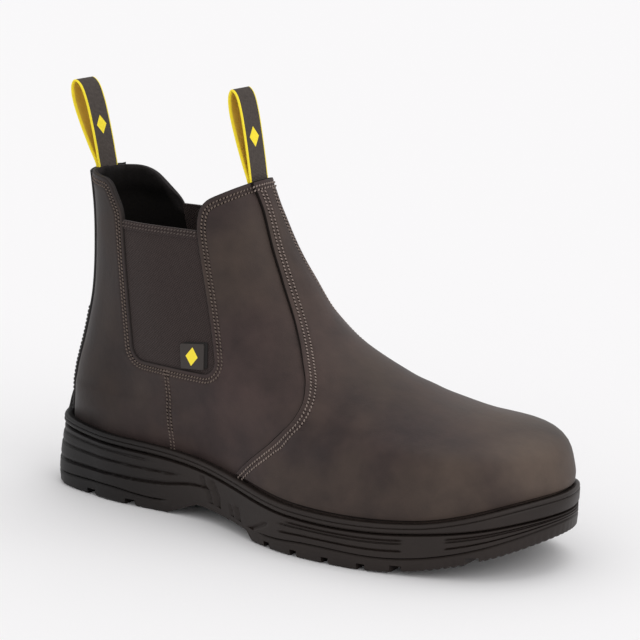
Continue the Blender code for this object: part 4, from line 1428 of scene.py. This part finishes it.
def strip_cap(base, columns, upwards):
    """Faces that close a ring by strips across it, from its lateral to its medial side."""
    faces = [(base, base + 1, base + columns - 1)]
    for i in range(1, columns // 2 - 1):
        faces.append((base + i, base + i + 1, base + columns - i - 1, base + columns - i))
    middle = base + columns // 2
    faces.append((middle - 1, middle, middle + 1))
    return faces if upwards else [face[::-1] for face in faces]


def stacked(rings):
    columns = len(rings[0])
    faces = ring_faces(len(rings), columns)
    faces += strip_cap(0, columns, upwards=False)
    faces += strip_cap((len(rings) - 1) * columns, columns, upwards=True)
    return np.vstack(rings), faces


# Grooves of the sole's wall: share of its height at heel, waist and forefoot, x where the heel's part
# ends and where the forefoot's part begins, and depth at heel and forefoot as a share of the groove depth
WALL_GROOVES = (
    (0.27, 0.46, 0.30, -28.0, 19.0, 1.15, 0.9),
    (0.61, 0.68, 0.62, -49.0, 19.0, 0.8, 0.8),
    (0.85, 0.86, 0.86, -66.0, 19.0, 0.7, 0.0),
    (0.90, 0.76, 0.76, -200.0, 24.0, 0.0, 0.8),
)
# The step below a groove's line and the slope above it, as shares of the wall's height
GROOVE_STEP, GROOVE_SLOPE = 0.022, 0.13
# x of a part of the forefoot that has no grooves, and how far they fade beside it
PLAIN_PANEL, PANEL_FADE = (92.0, 110.0), 3.0
# Points round the sole, rings up its wall, bevel at the wall's foot and inset at its top, in mm
SOLE_COLUMNS, WALL_RINGS = 768, 62
WALL_BEVEL, WALL_TOP_INSET = 0.9, 1.2
# Power by which the wall's lean grows towards its top
LEAN_POWER = 1.6
# Ridges round the underside of the toe: height and spacing in mm, and x from none to full
RIDGE_HEIGHT, RIDGE_PITCH, RIDGE_X = 0.45, 4.0, (96.0, 104.0)
# Marks on the waist in side view: points as x, z; half width and depth in mm
WAIST_MARKS = (
    (((-38.5, 24.0), (-37.5, 20.0), (-34.0, 17.0), (-30.5, 9.0)), 1.0, 1.2),
    (((-31.0, 22.5), (-29.5, 19.0), (-27.0, 16.0), (-26.0, 9.0)), 1.3, 1.2),
    (((-35.0, 23.0), (-33.5, 20.0), (-30.6, 17.0), (-28.5, 9.0)), 1.2, -0.7),
    (((-16.5, 14.5), (-15.0, 10.5), (-13.0, 5.5)), 0.9, 0.9),
    (((-13.5, 15.0), (-12.0, 10.5), (-10.0, 5.0)), 0.9, -0.6),
    (((-10.6, 14.5), (-9.2, 10.5), (-7.4, 5.0)), 0.9, 0.9),
    (((-2.0, 5.6), (4.0, 8.8), (12.5, 13.0)), 0.9, 1.3),
)


def waist_share(x):
    """1 along the waist, where the tread and the wall are one smooth form."""
    return smoothstep(*WAIST_START, x) * (1.0 - smoothstep(*WAIST_END, x))


def groove_inset(x, share, depth):
    """How far the wall sinks at a share of its height: a sharp step with a slope above it."""
    total = np.zeros_like(x)
    panel_start, panel_end = PLAIN_PANEL
    panel = smoothstep(panel_start - PANEL_FADE, panel_start, x)
    panel *= 1.0 - smoothstep(panel_end, panel_end + PANEL_FADE, x)
    for heel, waist, forefoot, heel_end, forefoot_start, heel_depth, forefoot_depth in WALL_GROOVES:
        middle = heel + (waist - heel) * smoothstep(-110.0, -30.0, x)
        middle += (forefoot - waist) * smoothstep(-30.0, 20.0, x)
        strength = heel_depth * (1.0 - smoothstep(heel_end - 14.0, heel_end, x))
        strength += forefoot_depth * smoothstep(forefoot_start, forefoot_start + 6.0, x) * (1.0 - panel)
        off = share - middle
        step = 1.0 - np.clip(-off / GROOVE_STEP, 0.0, 1.0)
        slope = (1.0 - np.clip(off / GROOVE_SLOPE, 0.0, 1.0)) ** 2
        total = np.maximum(total, strength * np.where(off < 0.0, step, slope))
    return total * depth


def mark_inset(points):
    """How far the marks on the waist sink the wall at points on it."""
    total = np.zeros(len(points))
    flat_points = points[:, (0, 2)]
    for corners, half_width, depth in WAIST_MARKS:
        line = dense(corners, 0.4)
        near = (flat_points[:, 0] > line[:, 0].min() - 4.0) & (flat_points[:, 0] < line[:, 0].max() + 4.0)
        gap = np.linalg.norm(flat_points[near][:, None] - line[None], axis=2).min(axis=1)
        total[near] += depth * np.exp(-((gap / half_width) ** 2))
    return total


class BOOT_OT_sole_wall(bpy.types.Operator):
    """Ribbed wall of the sole between tread and rim"""

    bl_idname = "boot.sole_wall"
    bl_label = "Sole wall"

    def execute(self, context):
        outline = sole_outline(SOLE_COLUMNS)
        x = outline[:, 0]
        low, high = tread_top(x) + GAP, seat_height(x)
        lean = heel_lean(x)
        depth = context.scene.boot_sole.groove
        low -= GAP * waist_share(x)
        bevel = WALL_BEVEL * (1.0 - waist_share(x))
        rings = [np.column_stack([inset(outline, bevel + mark_inset(np.column_stack([outline, low]))), low])]
        for share in np.linspace(0.03, 0.97, WALL_RINGS):
            height = low + share * (high - low)
            marks = mark_inset(np.column_stack([outline, height]))
            sunk = lean * share**LEAN_POWER + groove_inset(x, np.full_like(x, share), depth) + marks
            rings.append(np.column_stack([inset(outline, sunk), height]))
        rings.append(np.column_stack([inset(outline, lean + WALL_TOP_INSET), high]))
        points, faces = stacked(rings)
        new_piece("sole_wall", points, faces, sole_rubber(), ["midsole"], sharp=50.0)
        return {"FINISHED"}


class BOOT_OT_rim(bpy.types.Operator):
    """Rounded rim round the foot of the upper, with toe bumper and heel tab"""

    bl_idname = "boot.rim"
    bl_label = "Rim"

    def execute(self, context):
        outline = sole_outline()
        x, y = outline.T
        low, high = seat_height(x) + GAP, rim_top(x, y)
        lean = heel_lean(x)
        inner = UPPER_INSET - GAP + lean
        profile = [(inner, low), (lean + 2.0, low), (lean + 1.0, low + 0.3), (lean + 0.9, low + 0.7)]
        profile += [(lean + 0.1, low + 0.9), (lean - RIM_LIP * 0.7, low + 1.7)]
        bead = high - 1.25
        profile += [(lean - RIM_LIP, bead - 1.9), (lean - RIM_LIP * 0.8, bead - 1.35)]
        profile.append((lean + 0.35, bead - 1.0))
        for angle in (-50.0, -25.0, 0.0, 25.0, 50.0, 75.0, 100.0):
            a = math.radians(angle)
            profile.append((lean + 0.95 - 1.3 * math.cos(a), bead + 1.25 * math.sin(a)))
        profile += [(lean + 1.9, high - 0.35), (inner - 0.5, high - 0.5), (inner, high - 1.2)]
        rings = [np.column_stack([inset(outline, distance), height]) for distance, height in profile]
        faces = ring_faces(len(rings), len(outline), closed_profile=True)
        new_piece("rim_moulding", np.vstack(rings), faces, sole_rubber(), ["rim"], sharp=60.0)
        return {"FINISHED"}


# A tread with fewer faces than this was not cut
LEAST_TREAD_FACES = 500


def prism(name, rings):
    """A closed bar through rings of corners, for cutting the tread."""
    corners = len(rings[0])
    faces = ring_faces(len(rings), corners)
    last = corners * (len(rings) - 1)
    faces += [tuple(range(corners))[::-1], tuple(last + i for i in range(corners))]
    mesh = bpy.data.meshes.new(name)
    mesh.from_pydata(np.vstack(rings) * MM, [], faces)
    obj = bpy.data.objects.new(name, mesh)
    work = bmesh_from(obj)
    bmesh.ops.recalc_face_normals(work, faces=work.faces)
    work.to_mesh(mesh)
    work.free()
    return obj


def channel(path, width, flare=1.0):
    """A cutter along a path on the underside whose roof follows the floor line. It may widen towards
    its end."""
    path = np.asarray(path, float)
    along = unit(np.gradient(path, axis=0))
    widths = np.linspace(1.0, flare, len(path))[:, None] * width
    side = np.column_stack([-along[:, 1], along[:, 0]]) * widths / 2.0
    rings = []
    for centre, offset in zip(path, side):
        roof = floor_height(centre[0]) + CHANNEL_DEPTH
        right, left = centre - offset, centre + offset
        low_right, low_left = (*right, CUTTER_FOOT), (*left, CUTTER_FOOT)
        right, left = centre - offset * ROOF_SHARE, centre + offset * ROOF_SHARE
        rings.append([low_right, low_left, (*left, roof), (*right, roof)])
    return prism("tread cutter", rings)


class BOOT_OT_tread(bpy.types.Operator):
    """Tread plate with its lugs"""

    bl_idname = "boot.tread"
    bl_label = "Tread"

    def execute(self, context):
        outline = sole_outline(SOLE_COLUMNS)
        x = outline[:, 0]
        floor, top = floor_height(x), tread_top(x)
        round_toe = travelled(outline)
        wave = (0.5 + 0.5 * np.sin(round_toe * 2.0 * math.pi / RIDGE_PITCH)) ** 2
        ridge = RIDGE_HEIGHT * smoothstep(*RIDGE_X, x) * wave
        rings = [
            np.column_stack([inset(outline, TREAD_BEVEL + ridge), floor + ridge]),
            np.column_stack([inset(outline, 1.0 + ridge), floor + 0.5 + ridge]),
            np.column_stack([inset(outline, 0.4 + ridge * 0.2), floor + 1.5]),
            np.column_stack([outline, top - WALL_BEVEL]),
            np.column_stack([inset(outline, WALL_BEVEL * (1.0 - waist_share(x))), top]),
        ]
        points, faces = stacked(rings)
        mesh = bpy.data.meshes.new("tread plate")
        mesh.from_pydata(points * MM, [], faces)
        plate = linked("tread plate", mesh)
        cutters = bpy.data.collections.new("tread cutters")
        context.scene.collection.children.link(cutters)
        arch = [[(px, y, z) for px, z in ARCH] for y in (-ARCH_REACH, ARCH_REACH)]
        cutters.objects.link(prism("arch", arch))
        for side in (-1.0, 1.0):
            for station, width in SIDE_CHANNELS:
                inner, outer = SIDE_CHANNEL_Y
                path = [(station - CHANNEL_SLANT, side * inner), (station, side * outer)]
                cutters.objects.link(channel(path, width, CHANNEL_FLARE))
            for start, end, y in LONG_CHANNELS:
                path = [(px, side * y) for px in np.linspace(start, end, 9)]
                cutters.objects.link(channel(path, CHANNEL_WIDTH))
        for station in MIDDLE_CHANNELS:
            path = [(station, -MIDDLE_CHANNEL_Y), (station + CHANNEL_SLANT, 0.0), (station, MIDDLE_CHANNEL_Y)]
            cutters.objects.link(channel(path, CHANNEL_WIDTH))
        modifier = plate.modifiers.new("lugs", "BOOLEAN")
        modifier.operation = "DIFFERENCE"
        modifier.solver = "EXACT"
        modifier.operand_type = "COLLECTION"
        modifier.collection = cutters
        evaluated = plate.evaluated_get(context.evaluated_depsgraph_get())
        cut = bpy.data.meshes.new_from_object(evaluated)
        for obj in [plate, *cutters.objects]:
            bpy.data.objects.remove(obj)
        bpy.data.collections.remove(cutters)
        if len(cut.polygons) < LEAST_TREAD_FACES:
            raise RuntimeError("the tread was not cut")
        cut.name = "tread"
        cut.materials.clear()
        cut.materials.append(sole_rubber())
        cut.shade_smooth()
        cut.set_sharp_from_angle(angle=math.radians(30.0))
        tread = linked("tread", cut)
        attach(tread, BODY)
        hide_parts("outsole")
        return {"FINISHED"}


class BOOT_OT_quarters(bpy.types.Operator):
    """Leather of the heel and sides, up to the collar, with its two gore windows"""

    bl_idname = "boot.quarters"
    bl_label = "Quarters"

    def execute(self, context):
        thickness = context.scene.boot_leather.thickness
        rows = on_both_sides(hem_rows, quarter_rows)
        relief = seam_relief(rows)
        points, faces = panel(full_turn(), -thickness, thickness, relief, lines=groove_guides(rows))
        quarters = new_piece("quarters", points, faces, nubuck(), ["upper"], edge=cut_edge())
        merged(quarters)
        return {"FINISHED"}


def collar_distance(points):
    """How far points are from the collar's top edge, windows left out."""
    line = np.vstack([on_last(collar_line(side)) for side in SIDES])
    return nearest_distance(points, line[line[:, 2] > GORE_TOP])


# The collar's padding in mm: distance from the collar's edge over which it swells and over which it
# fades, y over which it thins on the near side, height over which it sets in, and its waves
PADDING_SWELL, PADDING_FADE = (0.3, 3.0), (7.0, 20.0)
PADDING_Y, PADDING_Z, PADDING_RIPPLE = (-12.0, -4.0), (152.0, 162.0), 0.25
# Share of the padding that is left on the near side
NEAR_PADDING = 0.25
# Width of the binding along the collar in mm, from full to none
BINDING = (4.0, 6.0)


class BOOT_OT_lining(bpy.types.Operator):
    """Black cloth lining inside the upper, padded along the collar"""

    bl_idname = "boot.lining"
    bl_label = "Lining"

    def execute(self, context):
        padding = context.scene.boot_leather.collar_padding

        def padded(points):
            distance = collar_distance(points)
            ripple = PADDING_RIPPLE * np.sin(points[:, 1] * 0.9) * np.sin(points[:, 0] * 0.7)
            depth = (padding + ripple) * smoothstep(*PADDING_SWELL, distance)
            depth *= 1.0 - smoothstep(*PADDING_FADE, distance)
            depth *= NEAR_PADDING + (1.0 - NEAR_PADDING) * smoothstep(*PADDING_Y, points[:, 1])
            return depth * smoothstep(*PADDING_Z, points[:, 2])

        points, faces = panel(full_turn(), *LINING_SHEET, edge=0.2, step=3.0, sunk=padded)
        lining = new_piece("lining", points, faces, lining_cloth())
        merged(lining)
        places = np.array([vert.co[:] for vert in lining.data.vertices]) / MM
        band = 1.0 - smoothstep(*BINDING, collar_distance(places))
        layer = lining.data.attributes.new("collar_band", "FLOAT", "POINT")
        layer.data.foreach_set("value", band)
        return {"FINISHED"}


class BOOT_OT_vamp(bpy.types.Operator):
    """Front panel of leather, lapped over the quarters"""

    bl_idname = "boot.vamp"
    bl_label = "Vamp"

    def execute(self, context):
        low = RIM_SHARE * VAMP_FOOT
        lateral, medial = seam_line("lateral", low), seam_line("medial", low)
        medial = medial + (1.0, 0.0)
        edge_top, far_top = collar_line("lateral"), collar_line("medial") + (1.0, 0.0)
        top = [edge_top[edge_top[:, 0] > lateral[0, 0]], far_top[far_top[:, 0] < medial[0, 0]]]
        foot = np.linspace(lateral[-1, 0], medial[-1, 0], FOOT_POINTS)
        foot_line = np.column_stack([foot, np.full(FOOT_POINTS, low)])
        front = np.vstack([top[0], top[1][::-1][1:]])
        outline = end_to_end([foot_line, medial[::-1], front[::-1], lateral])
        rows = on_both_sides(vamp_rows) + on_both_sides(hem_rows)
        for line in rows:
            line[line[:, 0] < 0.0, 0] += 1.0
        relief = seam_relief(rows)
        points, faces = panel(outline, *VAMP_SHEET, relief, lines=groove_guides(rows), edge=0.6)
        # The lapped edge is drawn near black, partly as painted shade of the gap under it
        new_piece("vamp_panel", points, faces, nubuck(), ["vamp"], edge=lapped_edge_and_shade())
        return {"FINISHED"}


def back_share(half_width, up):
    """Shares on the lateral side where the last is a given half width wide, near the heel's back."""

    def narrower(around):
        return -on_last(np.column_stack([around, up]))[:, 1] < half_width

    return halved(np.zeros_like(up), np.full_like(up, HEEL_TURN), narrower)


# Half width of the strip at its foot and its top, in mm, and points up its length
STRIP_HALF_WIDTHS, STRIP_POINTS = (16.5, 14.5), 90
# Coarse stitches over the strip: how far in from its edge the rows run, their lift, length and
# thickness in mm, and the share of the strip's height that they cover
STRIP_ROWS, STRIP_LIFT, STRIP_LENGTH, STRIP_THICKNESS, STRIP_SHARE = (0.9, 5.0), 1.25, 2.2, 1.3, 0.62


class BOOT_OT_backstay(bpy.types.Operator):
    """Black strip down the back line"""

    bl_idname = "boot.backstay"
    bl_label = "Backstay"

    def execute(self, context):
        collar = collar_line("lateral")
        up = np.linspace(RIM_SHARE * STRIP_FOOT, np.interp(0.03, collar[:, 0], collar[:, 1]), STRIP_POINTS)
        width = np.interp(up, (up[0], up[-1]), STRIP_HALF_WIDTHS)
        around = back_share(width, up)
        lateral = np.column_stack([around, up])
        far = np.column_stack([-around, up])
        top = collar[collar[:, 0] < around[-1]]
        crown = np.vstack([top[::-1], (top * (-1.0, 1.0))[1:]])
        foot = np.column_stack([np.linspace(-around[0], around[0], 20), np.full(20, up[0])])
        outline = end_to_end([foot, lateral, crown, far[::-1]])
        black = plain_material("coated leather strip", "#1b1817", 0.5, grain=1100.0)
        points, faces = panel(outline, *BACKSTAY_SHEET, edge=0.4)
        new_piece("backstay_strip", points, faces, black, ["backstay"])
        # Thick stitches over the lower part of the strip make its edge look scalloped
        rows = []
        lower = np.linspace(0.0, 1.0, len(up)) < STRIP_SHARE
        for sign in (1.0, -1.0):
            for inside_by in STRIP_ROWS:
                line = np.column_stack([sign * back_share(width - inside_by, up), up])[lower]
                rows.append(sewn(line, STRIP_LIFT))
        sizes = {"length": STRIP_LENGTH, "thickness": STRIP_THICKNESS}
        lay_stitches("backstay_stitches", rows, black, "backstay", **sizes)
        return {"FINISHED"}


# How far the elastic reaches behind the leather, in mm
GORE_REACH = 1.6
# The hem's height, how far it reaches past the window at its top and at its foot (front and back),
# the depth of its two rows of stitches, how far short of the window they stop and their lift, in mm
HEM_HEIGHT, HEM_TOP_REACH, HEM_FOOT_REACH = 4.6, 0.6, (1.4, -0.2)
HEM_ROWS, HEM_ROW_INSET, HEM_ROW_LIFT = (1.2, 2.9), 0.8, -0.35


class BOOT_OT_gores(bpy.types.Operator):
    """Elastic side panels with a folded hem along the top"""

    bl_idname = "boot.gores"
    bl_label = "Gores"

    def execute(self, context):
        rows = []
        for side in SIDES:
            back, back_foot, front_foot, front = COLLAR_CORNERS[2:6]
            corners = (
                (back[0] - GORE_REACH, GORE_TOP, 0.0),
                (back_foot[0] - GORE_REACH, back_foot[1] - GORE_REACH, back_foot[2]),
                (front_foot[0] + GORE_REACH, front_foot[1] - GORE_REACH, front_foot[2]),
                (front[0] + GORE_REACH, GORE_TOP, 0.0),
            )
            line = placed(dense(np.vstack([rounded(corners), [corners[0][:2]]])), side)
            line = line if side == "lateral" else line[::-1]
            points, faces = panel([(line, False)], *ELASTIC_SHEET, edge=0.35)
            new_piece(f"elastic_{side}", points, faces, elastic(), [f"gore_{side}"])
            # The hem is the elastic's top folded outwards, a little thicker
            hem_foot = GORE_TOP - HEM_HEIGHT
            hem = [(back[0] - HEM_TOP_REACH, GORE_TOP), (front[0] + HEM_TOP_REACH, GORE_TOP)]
            hem += [(front[0] + HEM_FOOT_REACH[0], hem_foot), (back[0] - HEM_FOOT_REACH[1], hem_foot)]
            line = placed(dense([*hem, hem[0]]), side)
            line = line[::-1] if side == "lateral" else line
            points, faces = panel([(line, False)], *HEM_SHEET, edge=0.3)
            new_piece(f"elastic_hem_{side}", points, faces, elastic())
            for drop in HEM_ROWS:
                height = GORE_TOP - drop
                ends = [(back[0] + HEM_ROW_INSET, height), (front[0] - HEM_ROW_INSET, height)]
                rows.append(sewn(placed(dense(ends), side), HEM_ROW_LIFT))
        thread = plain_material("dark thread", "#4f4541", 0.7, grain=2500.0, strength=0.5)
        lay_stitches("gore_hem_stitches", rows, thread, "elastic")
        return {"FINISHED"}


# Half sizes of the tag's diamond in m, and how far its folded half shows beside and above it in mm
TAG_DIAMOND, TAG_FOLD_BY = (0.0038, 0.0048), (1.8, 1.0)


class BOOT_OT_tag(bpy.types.Operator):
    """Small folded tag, with a plain diamond"""

    bl_idname = "boot.tag"
    bl_label = "Tag"

    def execute(self, context):
        line = placed(dense([*[c[:2] for c in TAG_CORNERS], TAG_CORNERS[0][:2]], 0.6), "lateral")
        points, faces = panel([(line, False)], *TAG_SHEET, edge=0.25, step=1.6)
        material, tree, shader = new_material("woven tag")
        place = add(tree, "ShaderNodeTexCoord").outputs["Object"]
        parts = add(tree, "ShaderNodeSeparateXYZ", {"Vector": place})
        centre = np.mean([c[:2] for c in TAG_CORNERS], axis=0) * MM
        mark = diamond(tree, parts.outputs["X"], parts.outputs["Z"], centre, TAG_DIAMOND)
        look = context.scene.boot_loops
        colour = add(
            tree, "ShaderNodeMix", {0: mark, 6: linear(look.tape), 7: linear(look.edge)}, data_type="RGBA"
        ).outputs[2]
        tree.links.new(colour, shader.inputs["Base Color"])
        yarn = add(tree, "ShaderNodeTexNoise", {"Vector": place, "Scale": 1500.0}).outputs["Fac"]
        bump = add(tree, "ShaderNodeBump", {"Height": yarn, "Strength": 0.4, "Distance": 0.0002})
        tree.links.new(bump.outputs["Normal"], shader.inputs["Normal"])
        shader.inputs["Roughness"].default_value = 0.75
        new_piece("tag", points, faces, material, ["gore_tag"])
        # The tag's folded back half, seen as a strip beside and above it, drawn dark as painted shadow of the
        # tag
        behind = [(x + TAG_FOLD_BY[0], z + TAG_FOLD_BY[1]) for x, z, _ in TAG_CORNERS]
        line = placed(dense([*behind, behind[0]], 0.6), "lateral")
        points, faces = panel([(line, False)], *TAG_FOLD_SHEET, edge=0.2, step=1.6)
        dark = plain_material("woven tag back with painted shadow", "#1b1817", 0.85, grain=1500.0, depth=0.0002)
        new_piece("tag_fold_with_painted_shadow", points, faces, dark)
        return {"FINISHED"}


# The tape's thickness in mm, points along it, and where along it each loop has its diamond
TAPE_THICKNESS, TAPE_POINTS = 1.1, 150
DIAMOND_AT = {"back": 0.74, "front": 0.72}


class BOOT_OT_loops(bpy.types.Operator):
    """Woven pull loops, dark outside and yellow inside"""

    bl_idname = "boot.loops"
    bl_label = "Pull loops"

    def execute(self, context):
        tape, steps = TAPE_THICKNESS, TAPE_POINTS
        for name, base_x, base_z, sewn_lean, top_lean, scale, width in LOOPS:
            knots = np.arange(len(LOOP_PATH), dtype=float)
            path = spline(knots, np.array(LOOP_PATH), np.linspace(0.0, knots[-1], steps))
            ends, spread, height = path.T
            sewn_height, top_height = LOOP_PATH[LOOP_SEWN_ROW][2], LOOP_PATH[LOOP_TOP_ROW][2]
            back = sewn_lean * np.clip(height / sewn_height, 0.0, 1.0)
            back += top_lean * np.clip((height - sewn_height) / (top_height - sewn_height), 0.0, 1.0)
            line = np.column_stack([base_x + ends + spread * width - back, base_z + height * scale])
            along = unit(np.gradient(line, axis=0))
            outwards = np.column_stack([-along[:, 1], along[:, 0]])
            share = travelled(line) / travelled(line)[-1]
            # Round the tape: outer face and rounded edge, then the inner face and the other edge
            half = [(-LOOP_WIDTH / 2 + 0.5 + (LOOP_WIDTH - 1.0) * k / 8, tape / 2) for k in range(9)]
            edge = LOOP_WIDTH / 2
            half += [(edge - 0.1, tape * 0.3), (edge, 0.0), (edge - 0.1, -tape * 0.3)]
            section = half + [(-y, -out) for y, out in half]
            across = [k / 8 for k in range(9)] + [1.3, 1.5, 1.7]
            across += [2.0 + place for place in across]
            count = len(section)
            points = []
            for (x, z), (ox, oz) in zip(line, outwards):
                points += [(x + ox * out, y, z + oz * out) for y, out in section]
            faces, uvs = [], []
            for i in range(steps - 1):
                for k in range(count):
                    m = (k + 1) % count
                    faces.append((i * count + k, i * count + m, (i + 1) * count + m, (i + 1) * count + k))
                    a, b = across[k], across[m] if m else 4.0
                    uvs += [(a, share[i]), (b, share[i]), (b, share[i + 1]), (a, share[i + 1])]
            caps = [tuple(range(count))[::-1], tuple((steps - 1) * count + k for k in range(count))]
            uvs += [(0.5, 0.0)] * count + [(0.5, 1.0)] * count
            tape_look = tape_material(DIAMOND_AT[name])
            replaced = [f"pull_loop_{name}"]
            piece = new_piece(f"pull_tape_{name}", points, faces + caps, tape_look, replaced)
            layer = piece.data.uv_layers.new(name="tape")
            layer.data.foreach_set("uv", np.ravel(uvs))
        return {"FINISHED"}


# How far the thread sits off the last on the quarters and on the vamp, in mm
QUARTER_LIFT, VAMP_LIFT = 0.0, 1.7


class BOOT_OT_stitches(bpy.types.Operator):
    """Double rows of stitches along every seam of the leather"""

    bl_idname = "boot.stitches"
    bl_label = "Stitches"

    def execute(self, context):
        look = context.scene.boot_stitches
        light = plain_material("waxed thread", look.colour, 0.6, grain=2500.0, strength=0.5, tone=0.4)
        # The quarters' thread is the vamp's thread darkened as painted shade
        dull = plain_material("thread with painted shade", look.quarter_shaded_colour, 0.7, grain=2500.0, strength=0.5, tone=0.4)
        # Painted shade: dark spots stand for the shade in the holes that the needle made
        dark = plain_material("needle hole shade", "#120e0d", 0.9, specular=0.05)
        on_quarters, on_vamp = [], []
        for side in SIDES:
            turn = abs(seam_line(side, RIM_SHARE)[0, 0])
            for line in hem_rows(side):
                front = np.abs(line[:, 0]) > turn
                on_quarters.append(line[~front])
                if front.sum() > 3:
                    on_vamp.append(line[front])
            on_vamp += vamp_rows(side)
            on_quarters += quarter_rows(side)
        for name, lines, lift, thread, slot in (
            ("quarter_stitches", on_quarters, QUARTER_LIFT, dull, "leather"),
            ("vamp_stitches", on_vamp, VAMP_LIFT, light, "vamp_leather"),
        ):
            lay_stitches(name, [sewn(line, lift) for line in lines], thread, slot)
            rows = [sewn(line, lift - HOLE_SINK) for line in lines]
            lay_stitches(name.replace("stitches", "holes"), rows, dark, slot, holes=True)
        return {"FINISHED"}


class BOOT_OT_insole(bpy.types.Operator):
    """Cloth-covered insole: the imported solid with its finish"""

    bl_idname = "boot.insole"
    bl_label = "Insole"

    def execute(self, context):
        cloth = plain_material("insole cloth", "#1c1a1a", 0.95, specular=0.15, grain=1000.0, strength=0.6)
        node = frame["nodes"]["insole"]
        node.data.materials.clear()
        node.data.materials.append(cloth)
        return {"FINISHED"}


class BOOT_OT_stage(bpy.types.Operator):
    """Pale floor, soft studio light and the camera at the photograph's angle"""

    bl_idname = "boot.stage"
    bl_label = "Stage"

    def execute(self, context):
        scene = context.scene
        look = scene.boot_stage
        half = 12.0
        corners = [(-half, -half, 0.0), (half, -half, 0.0), (half, half, 0.0), (-half, half, 0.0)]
        mesh = bpy.data.meshes.new("floor")
        mesh.from_pydata(corners, [], [(0, 1, 2, 3)])
        material, tree, shader = new_material("pale paper floor")
        shader.inputs["Base Color"].default_value = linear(look.floor)
        shader.inputs["Roughness"].default_value = 0.9
        shader.inputs["Specular IOR Level"].default_value = 0.0
        mesh.materials.append(material)
        floor = linked("floor", mesh)
        world = bpy.data.worlds.new("studio")
        world.use_nodes = True
        world.node_tree.nodes["Background"].inputs["Color"].default_value = (1.0, 1.0, 1.0, 1.0)
        world.node_tree.nodes["Background"].inputs["Strength"].default_value = look.fill
        scene.world = world
        # Name, direction that the light comes from, strength, softness as an angle in degrees
        lights = (
            ("light from above", (0.10, 0.35, 1.0), look.top, 38.0),
            ("light on the toe", (1.0, -0.25, 0.7), look.front, 50.0),
        )
        for name, source, strength, softness in lights:
            lamp = bpy.data.lights.new(name, "SUN")
            lamp.energy = strength
            lamp.angle = math.radians(softness)
            linked(name, lamp).rotation_euler = Vector(source).to_track_quat("Z", "Y").to_euler()
        camera = bpy.data.cameras.new("camera")
        camera.sensor_width = SENSOR
        camera.lens = CAMERA_FOCAL_PIXELS / FRAME_PIXELS * SENSOR
        camera.shift_x = (FRAME_PIXELS / 2.0 - TARGET_PIXEL[0]) / FRAME_PIXELS
        camera.shift_y = (TARGET_PIXEL[1] - FRAME_PIXELS / 2.0) / FRAME_PIXELS
        azimuth, elevation = math.radians(CAMERA_AZIMUTH), math.radians(CAMERA_ELEVATION)
        flat_reach = math.cos(elevation)
        back = Vector((math.sin(azimuth) * flat_reach, -math.cos(azimuth) * flat_reach, math.sin(elevation)))
        right = Vector((math.cos(azimuth), math.sin(azimuth), 0.0))
        turn = Matrix.Rotation(math.radians(CAMERA_ROLL), 3, back)
        right = turn @ right
        upwards = back.cross(right)
        basis = Matrix((right, upwards, back)).transposed().to_4x4()
        basis.translation = (Vector(CAMERA_TARGET) + back * CAMERA_DISTANCE) * MM
        scene.camera = linked("camera", camera)
        scene.camera.matrix_world = basis
        scene.view_settings.view_transform = "Standard"
        return {"FINISHED"}


LOOKS = (
    ("boot_leather", LeatherLook),
    ("boot_stitches", StitchLook),
    ("boot_gore", GoreLook),
    ("boot_loops", LoopLook),
    ("boot_sole", SoleLook),
    ("boot_stage", StageLook),
)
STEPS = (
    BOOT_OT_stage,
    BOOT_OT_tread,
    BOOT_OT_sole_wall,
    BOOT_OT_rim,
    BOOT_OT_insole,
    BOOT_OT_quarters,
    BOOT_OT_lining,
    BOOT_OT_vamp,
    BOOT_OT_backstay,
    BOOT_OT_gores,
    BOOT_OT_tag,
    BOOT_OT_loops,
    BOOT_OT_stitches,
)


class BOOT_PT_panel(bpy.types.Panel):
    """Lists the boot's looks and the steps that dress it"""

    bl_idname = "BOOT_PT_panel"
    bl_label = "Boot"
    bl_space_type = "VIEW_3D"
    bl_region_type = "UI"
    bl_category = "Boot"

    def draw(self, context):
        for name, look in LOOKS:
            box = self.layout.box()
            for key in look.__annotations__:
                box.prop(getattr(context.scene, name), key)
        for step in STEPS:
            self.layout.operator(step.bl_idname)


def register():
    for name, look in LOOKS:
        bpy.utils.register_class(look)
        setattr(bpy.types.Scene, name, bpy.props.PointerProperty(type=look))
    for step in STEPS:
        bpy.utils.register_class(step)
    bpy.utils.register_class(BOOT_PT_panel)


def unregister():
    bpy.utils.unregister_class(BOOT_PT_panel)
    for step in reversed(STEPS):
        bpy.utils.unregister_class(step)
    for name, look in reversed(LOOKS):
        delattr(bpy.types.Scene, name)
        bpy.utils.unregister_class(look)


def main():
    register()
    for step in STEPS:
        group, name = step.bl_idname.split(".")
        getattr(getattr(bpy.ops, group), name)()


if __name__ == "__main__":
    main()
